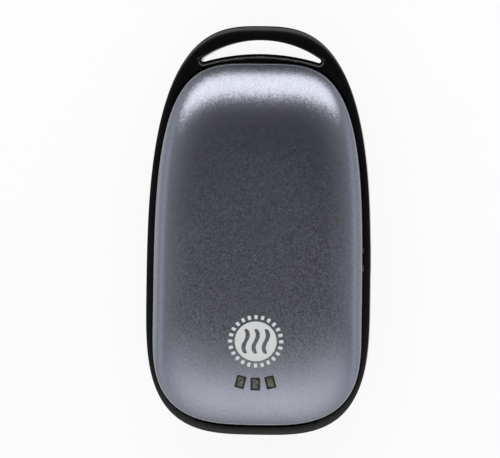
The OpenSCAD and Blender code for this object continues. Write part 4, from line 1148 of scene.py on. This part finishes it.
def button_cap(context):
    """The button along Z: a cap with a soft edge, a flange inside the frame and a stem down to the switch."""
    b = context.scene.hand_warmer.button
    overlap = 0.1 * MM
    wall = cover_outline(context, context.scene.hand_warmer.frame.ledge_width).reach(button_level)
    flange_top = wall - b.clearance
    flange_low = flange_top - b.flange
    cap_bar = round_ended(b.cap_length, b.cap_height, flange_low + overlap, button_high.x)
    face_edges = sharp_edges(cap_bar, lambda place: place.z > button_high.x - SMALLEST)
    round_edges(cap_bar, face_edges, b.edge_round, segments=5)
    flange = round_ended(b.cap_length + 2 * b.flange, b.cap_height + 2 * b.flange, flange_low, flange_top)
    stem = rod(b.stem, button_low.x, flange_low + 2 * overlap)
    return cut(context, cut(context, flange, stem, "UNION"), cap_bar, "UNION")


def power_symbol(b):
    """Open ring with a line through its opening, which is printed on the button."""
    symbol = bmesh.new()
    outer = b.symbol / 2
    inner = outer - b.stroke
    opening = math.radians(b.opening)
    start, end = math.pi / 2 + opening, math.pi / 2 - opening
    sweep = 2 * math.pi - 2 * opening
    face = trace(symbol, (outer * math.cos(start), outer * math.sin(start)), [
        ((0, 0), sweep), ((inner * math.cos(end), inner * math.sin(end)), 0), ((0, 0), -sweep)])
    raise_face(symbol, face, b.ink)
    line_length, line_level = 0.55 * b.symbol, 0.4 * b.symbol
    line = bar(b.stroke, line_length, b.stroke / 3, 0, b.ink)
    move(line, 0, line_level)
    join(symbol, line)
    return symbol


class HANDWARMER_OT_button(bpy.types.Operator):
    """Builds the power button with its soft edge and its symbol"""

    bl_idname = "hand_warmer.button"
    bl_label = "Power button"

    def execute(self, context):
        b = context.scene.hand_warmer.button
        button = button_cap(context)
        symbol = power_symbol(b)
        sunk = 0.02 * MM
        move(symbol, z=button_high.x - sunk)
        for mesh in (button, symbol):
            to_side(mesh)
            move(mesh, 0, button_level, mid_z)
        add_piece(context, "power_button_cap", button, "satin_abs",
                  body="power_button", stands_for=["power_button"], weighted=True)
        add_piece(context, "power_symbol", symbol, "screen_ink", body="power_button")
        return {"FINISHED"}


class HANDWARMER_OT_sockets(bpy.types.Operator):
    """Builds the metal shells of the two sockets"""

    bl_idname = "hand_warmer.sockets"
    bl_label = "Sockets"

    def execute(self, context):
        s = context.scene.hand_warmer.sockets
        for name in SOCKETS:
            low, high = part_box(name)
            size = high - low
            middle = (low + high) / 2
            mesh = bar(size.x, size.z, s.corner, 0, size.y)
            room = bar(size.x - 2 * s.wall, size.z - 2 * s.wall, s.corner - s.wall / 2, -MM, size.y - s.wall)
            mesh = cut(context, mesh, room)
            mouth = sharp_edges(mesh, lambda place: place.z < SMALLEST)
            round_edges(mesh, mouth, s.shell_edge, segments=2)
            to_foot(mesh)
            move(mesh, middle.x, low.y, middle.z)
            add_piece(context, name + "_tube", mesh, "nickel_plated_steel",
                      stands_for=[name])
        return {"FINISHED"}


def look_along(camera, place, target, roll):
    """Places the camera and points it at the target, with its top towards the loop."""
    camera.location = place
    back = (place - target).normalized()
    right = Vector((0, 1, 0)).cross(back).normalized()
    up = back.cross(right)
    turned = Matrix.Rotation(math.radians(roll), 3, back)
    axes = Matrix((turned @ right, turned @ up, back)).transposed()
    camera.rotation_euler = axes.to_euler()


def seen_rays(tree):
    """1 for the rays that show the background: the camera's, and those that metal and glass send on."""
    rays = node(tree, "LightPath").outputs
    seen = node(tree, "Math", {0: rays["Is Camera Ray"], 1: rays["Is Glossy Ray"]}, operation="MAXIMUM")
    return node(tree, "Math", {0: seen, 1: rays["Is Transmission Ray"]}, operation="MAXIMUM")


def pale_floor(context, s):
    """Floor that is pale to the camera by its own light, and still takes the object's shadow."""
    finish, tree, _ = new_finish("painted_board")
    share = node(tree, "Math", {0: seen_rays(tree), 1: s.floor_glow}, operation="MULTIPLY")
    matt = node(tree, "BsdfDiffuse", {"Color": rgba(s.floor)})
    glow = node(tree, "Emission", {"Color": WHITE, "Strength": 1})
    both = node(tree, "MixShader", {0: share, 1: matt, 2: glow})
    node(tree, "OutputMaterial", {"Surface": both})
    mesh = bmesh.new()
    bmesh.ops.create_grid(mesh, x_segments=2, y_segments=2, size=FLOOR_REACH)
    data = finished(mesh, "floor")
    data.materials.append(finish)
    floor = new_object(context, "floor", data)
    floor.location.z = -FLOOR_GAP


def studio_world(s):
    """The room round the object, which its gloss mirrors, and the pale backdrop behind the floor."""
    world = bpy.data.worlds.new("studio")
    world.use_nodes = True
    tree = world.node_tree
    tree.nodes.clear()
    direction = node(tree, "SeparateXYZ", {0: node(tree, "TexCoord").outputs["Generated"]})
    x, y, z = direction.outputs
    angle = node(tree, "Math", {0: z}, operation="ARCCOSINE")
    share = node(tree, "Math", {0: angle, 1: math.pi / 2}, operation="DIVIDE")
    curve = node(tree, "Math", {0: share, 1: s.horizon_power}, operation="POWER")
    # The room's two ends are darker than its sides
    across = node(tree, "Math", {0: y, 1: y}, operation="MULTIPLY")
    sides = node(tree, "MapRange", {
        "Value": across, "To Min": s.horizon, "To Max": s.horizon * (1 - s.shade)})
    room = node(tree, "MapRange", {"Value": curve, "To Min": s.zenith, "To Max": sides})
    # A white wall beyond the lower end lights the room from that side
    away = node(tree, "Math", {0: y, 1: -1}, operation="MULTIPLY", use_clamp=True)
    upright = node(tree, "Math", {0: z, 1: 0}, operation="MAXIMUM")
    spread = node(tree, "Math", {0: away, 1: s.glow_spread}, operation="POWER")
    height = node(tree, "Math", {0: upright, 1: s.glow_height}, operation="POWER")
    wall = node(tree, "Math", {0: spread, 1: height}, operation="MULTIPLY")
    lit = node(tree, "Math", {0: wall, 1: s.glow, 2: room}, operation="MULTIPLY_ADD")
    # Windows to the left and the right, low over the floor, give a cool light
    aside = node(tree, "Math", {0: x, 1: x}, operation="MULTIPLY")
    above = node(tree, "MapRange", {
        "Value": z, "From Min": s.ridge_height, "From Max": s.ridge_height + s.ridge_reach,
        "To Min": 1, "To Max": 0}, interpolation_type="SMOOTHSTEP")
    below = node(tree, "MapRange", {
        "Value": z, "From Min": s.ridge_height - s.ridge_reach, "From Max": s.ridge_height},
        interpolation_type="SMOOTHSTEP")
    ridge = node(tree, "Math", {0: above, 1: below}, operation="MULTIPLY")
    panes = node(tree, "Math", {0: ridge, 1: aside}, operation="MULTIPLY")
    sky = node(tree, "Math", {0: panes, 1: s.ridge, 2: lit}, operation="MULTIPLY_ADD")
    # The backdrop is as pale to metal and glass as it is to the camera
    backdrop = node(tree, "MapRange", {
        "Value": z, "From Min": BACKDROP_EDGE[0], "From Max": BACKDROP_EDGE[1], "To Min": 1, "To Max": 0})
    seen = node(tree, "Math", {0: seen_rays(tree), 1: backdrop}, operation="MULTIPLY")
    shown = node(tree, "MapRange", {"Value": seen, "To Min": sky, "To Max": s.backdrop})
    hidden = node(tree, "Math", {0: 1, 1: seen}, operation="SUBTRACT")
    cool = node(tree, "Math", {0: aside, 1: hidden}, operation="MULTIPLY")
    tint = node(tree, "Mix", {0: cool, 6: WHITE, 7: rgba(s.daylight)}, data_type="RGBA")
    ground = node(tree, "Background", {"Color": tint.outputs[2], "Strength": shown})
    node(tree, "OutputWorld", {"Surface": ground})
    return world


def add_softbox(context, s):
    """Oval softbox beyond the loop: three ovals, one behind the other, so that it fades at its edge."""
    heading = Matrix.Rotation(math.radians(s.key_turn), 4, "Z")
    lean = Matrix.Rotation(-math.radians((s.key_start + s.key_end) / 2), 4, "X")
    for step in (-1, 0, 1):
        distance = s.key_distance + step * OVAL_GAP
        grown = distance * (1 + step * s.key_fade)
        lamp = bpy.data.lights.new("softbox", "AREA")
        lamp.shape = "ELLIPSE"
        lamp.size = 2 * grown * math.tan(math.radians(s.key_width / 2))
        lamp.size_y = 2 * grown * math.tan(math.radians((s.key_end - s.key_start) / 2))
        # The energy is the level, times the oval's area, times pi
        lamp.energy = s.key / 3 * math.pi * lamp.size * lamp.size_y * math.pi / 4
        box = new_object(context, "softbox", lamp)
        box.matrix_world = heading @ lean @ Matrix.Translation((0, 0, distance))
        box.visible_camera = False


def add_camera(context, s):
    """Camera at the photograph's place, which shows the object at the photograph's scale."""
    data = bpy.data.cameras.new("camera")
    data.sensor_width = SENSOR_WIDTH
    data.lens = SENSOR_WIDTH * s.distance * s.scale / (PHOTO_WIDTH * MM)
    data.clip_end = CAMERA_REACH
    camera = new_object(context, "camera", data)
    target = Vector((s.aim_x, s.aim_y, mid_z))
    side, foot = math.tan(math.radians(s.side)), math.tan(math.radians(s.foot))
    back = Vector((side, -foot, 1)).normalized() * s.distance
    look_along(camera, target + back, target, s.roll)
    context.scene.camera = camera


class HANDWARMER_OT_stage(bpy.types.Operator):
    """Sets up the floor, the room, the softbox and the camera"""

    bl_idname = "hand_warmer.stage"
    bl_label = "Stage"

    def execute(self, context):
        s = context.scene.hand_warmer.stage
        pale_floor(context, s)
        context.scene.world = studio_world(s)
        add_softbox(context, s)
        add_camera(context, s)
        context.scene.view_settings.view_transform = "Standard"
        return {"FINISHED"}


class HANDWARMER_PT_panel(bpy.types.Panel):
    """Lists the hand warmer's pieces in the sidebar"""

    bl_idname = "HANDWARMER_PT_panel"
    bl_label = "Hand warmer"
    bl_space_type = "VIEW_3D"
    bl_region_type = "UI"
    bl_category = "Hand warmer"

    def draw(self, context):
        for operator in OPERATORS:
            self.layout.operator(operator.bl_idname)


OPERATORS = (
    HANDWARMER_OT_finishes,
    HANDWARMER_OT_covers,
    HANDWARMER_OT_frame,
    HANDWARMER_OT_windows,
    HANDWARMER_OT_print,
    HANDWARMER_OT_tabs,
    HANDWARMER_OT_button,
    HANDWARMER_OT_sockets,
    HANDWARMER_OT_stage,
)
CLASSES = (
    CoverSettings, FrameSettings, WindowSettings, PrintSettings, ButtonSettings, SocketSettings,
    StageSettings, HandWarmerSettings, *OPERATORS, HANDWARMER_PT_panel,
)


def register():
    for cls in CLASSES:
        bpy.utils.register_class(cls)
    bpy.types.Scene.hand_warmer = bpy.props.PointerProperty(type=HandWarmerSettings)


def unregister():
    del bpy.types.Scene.hand_warmer
    for cls in reversed(CLASSES):
        bpy.utils.unregister_class(cls)


def main():
    """Builds everything, in order."""
    register()
    bpy.ops.hand_warmer.finishes()
    bpy.ops.hand_warmer.covers()
    bpy.ops.hand_warmer.frame()
    bpy.ops.hand_warmer.windows()
    bpy.ops.hand_warmer.print()
    bpy.ops.hand_warmer.tabs()
    bpy.ops.hand_warmer.button()
    bpy.ops.hand_warmer.sockets()
    bpy.ops.hand_warmer.stage()


if __name__ == "__main__":
    main()
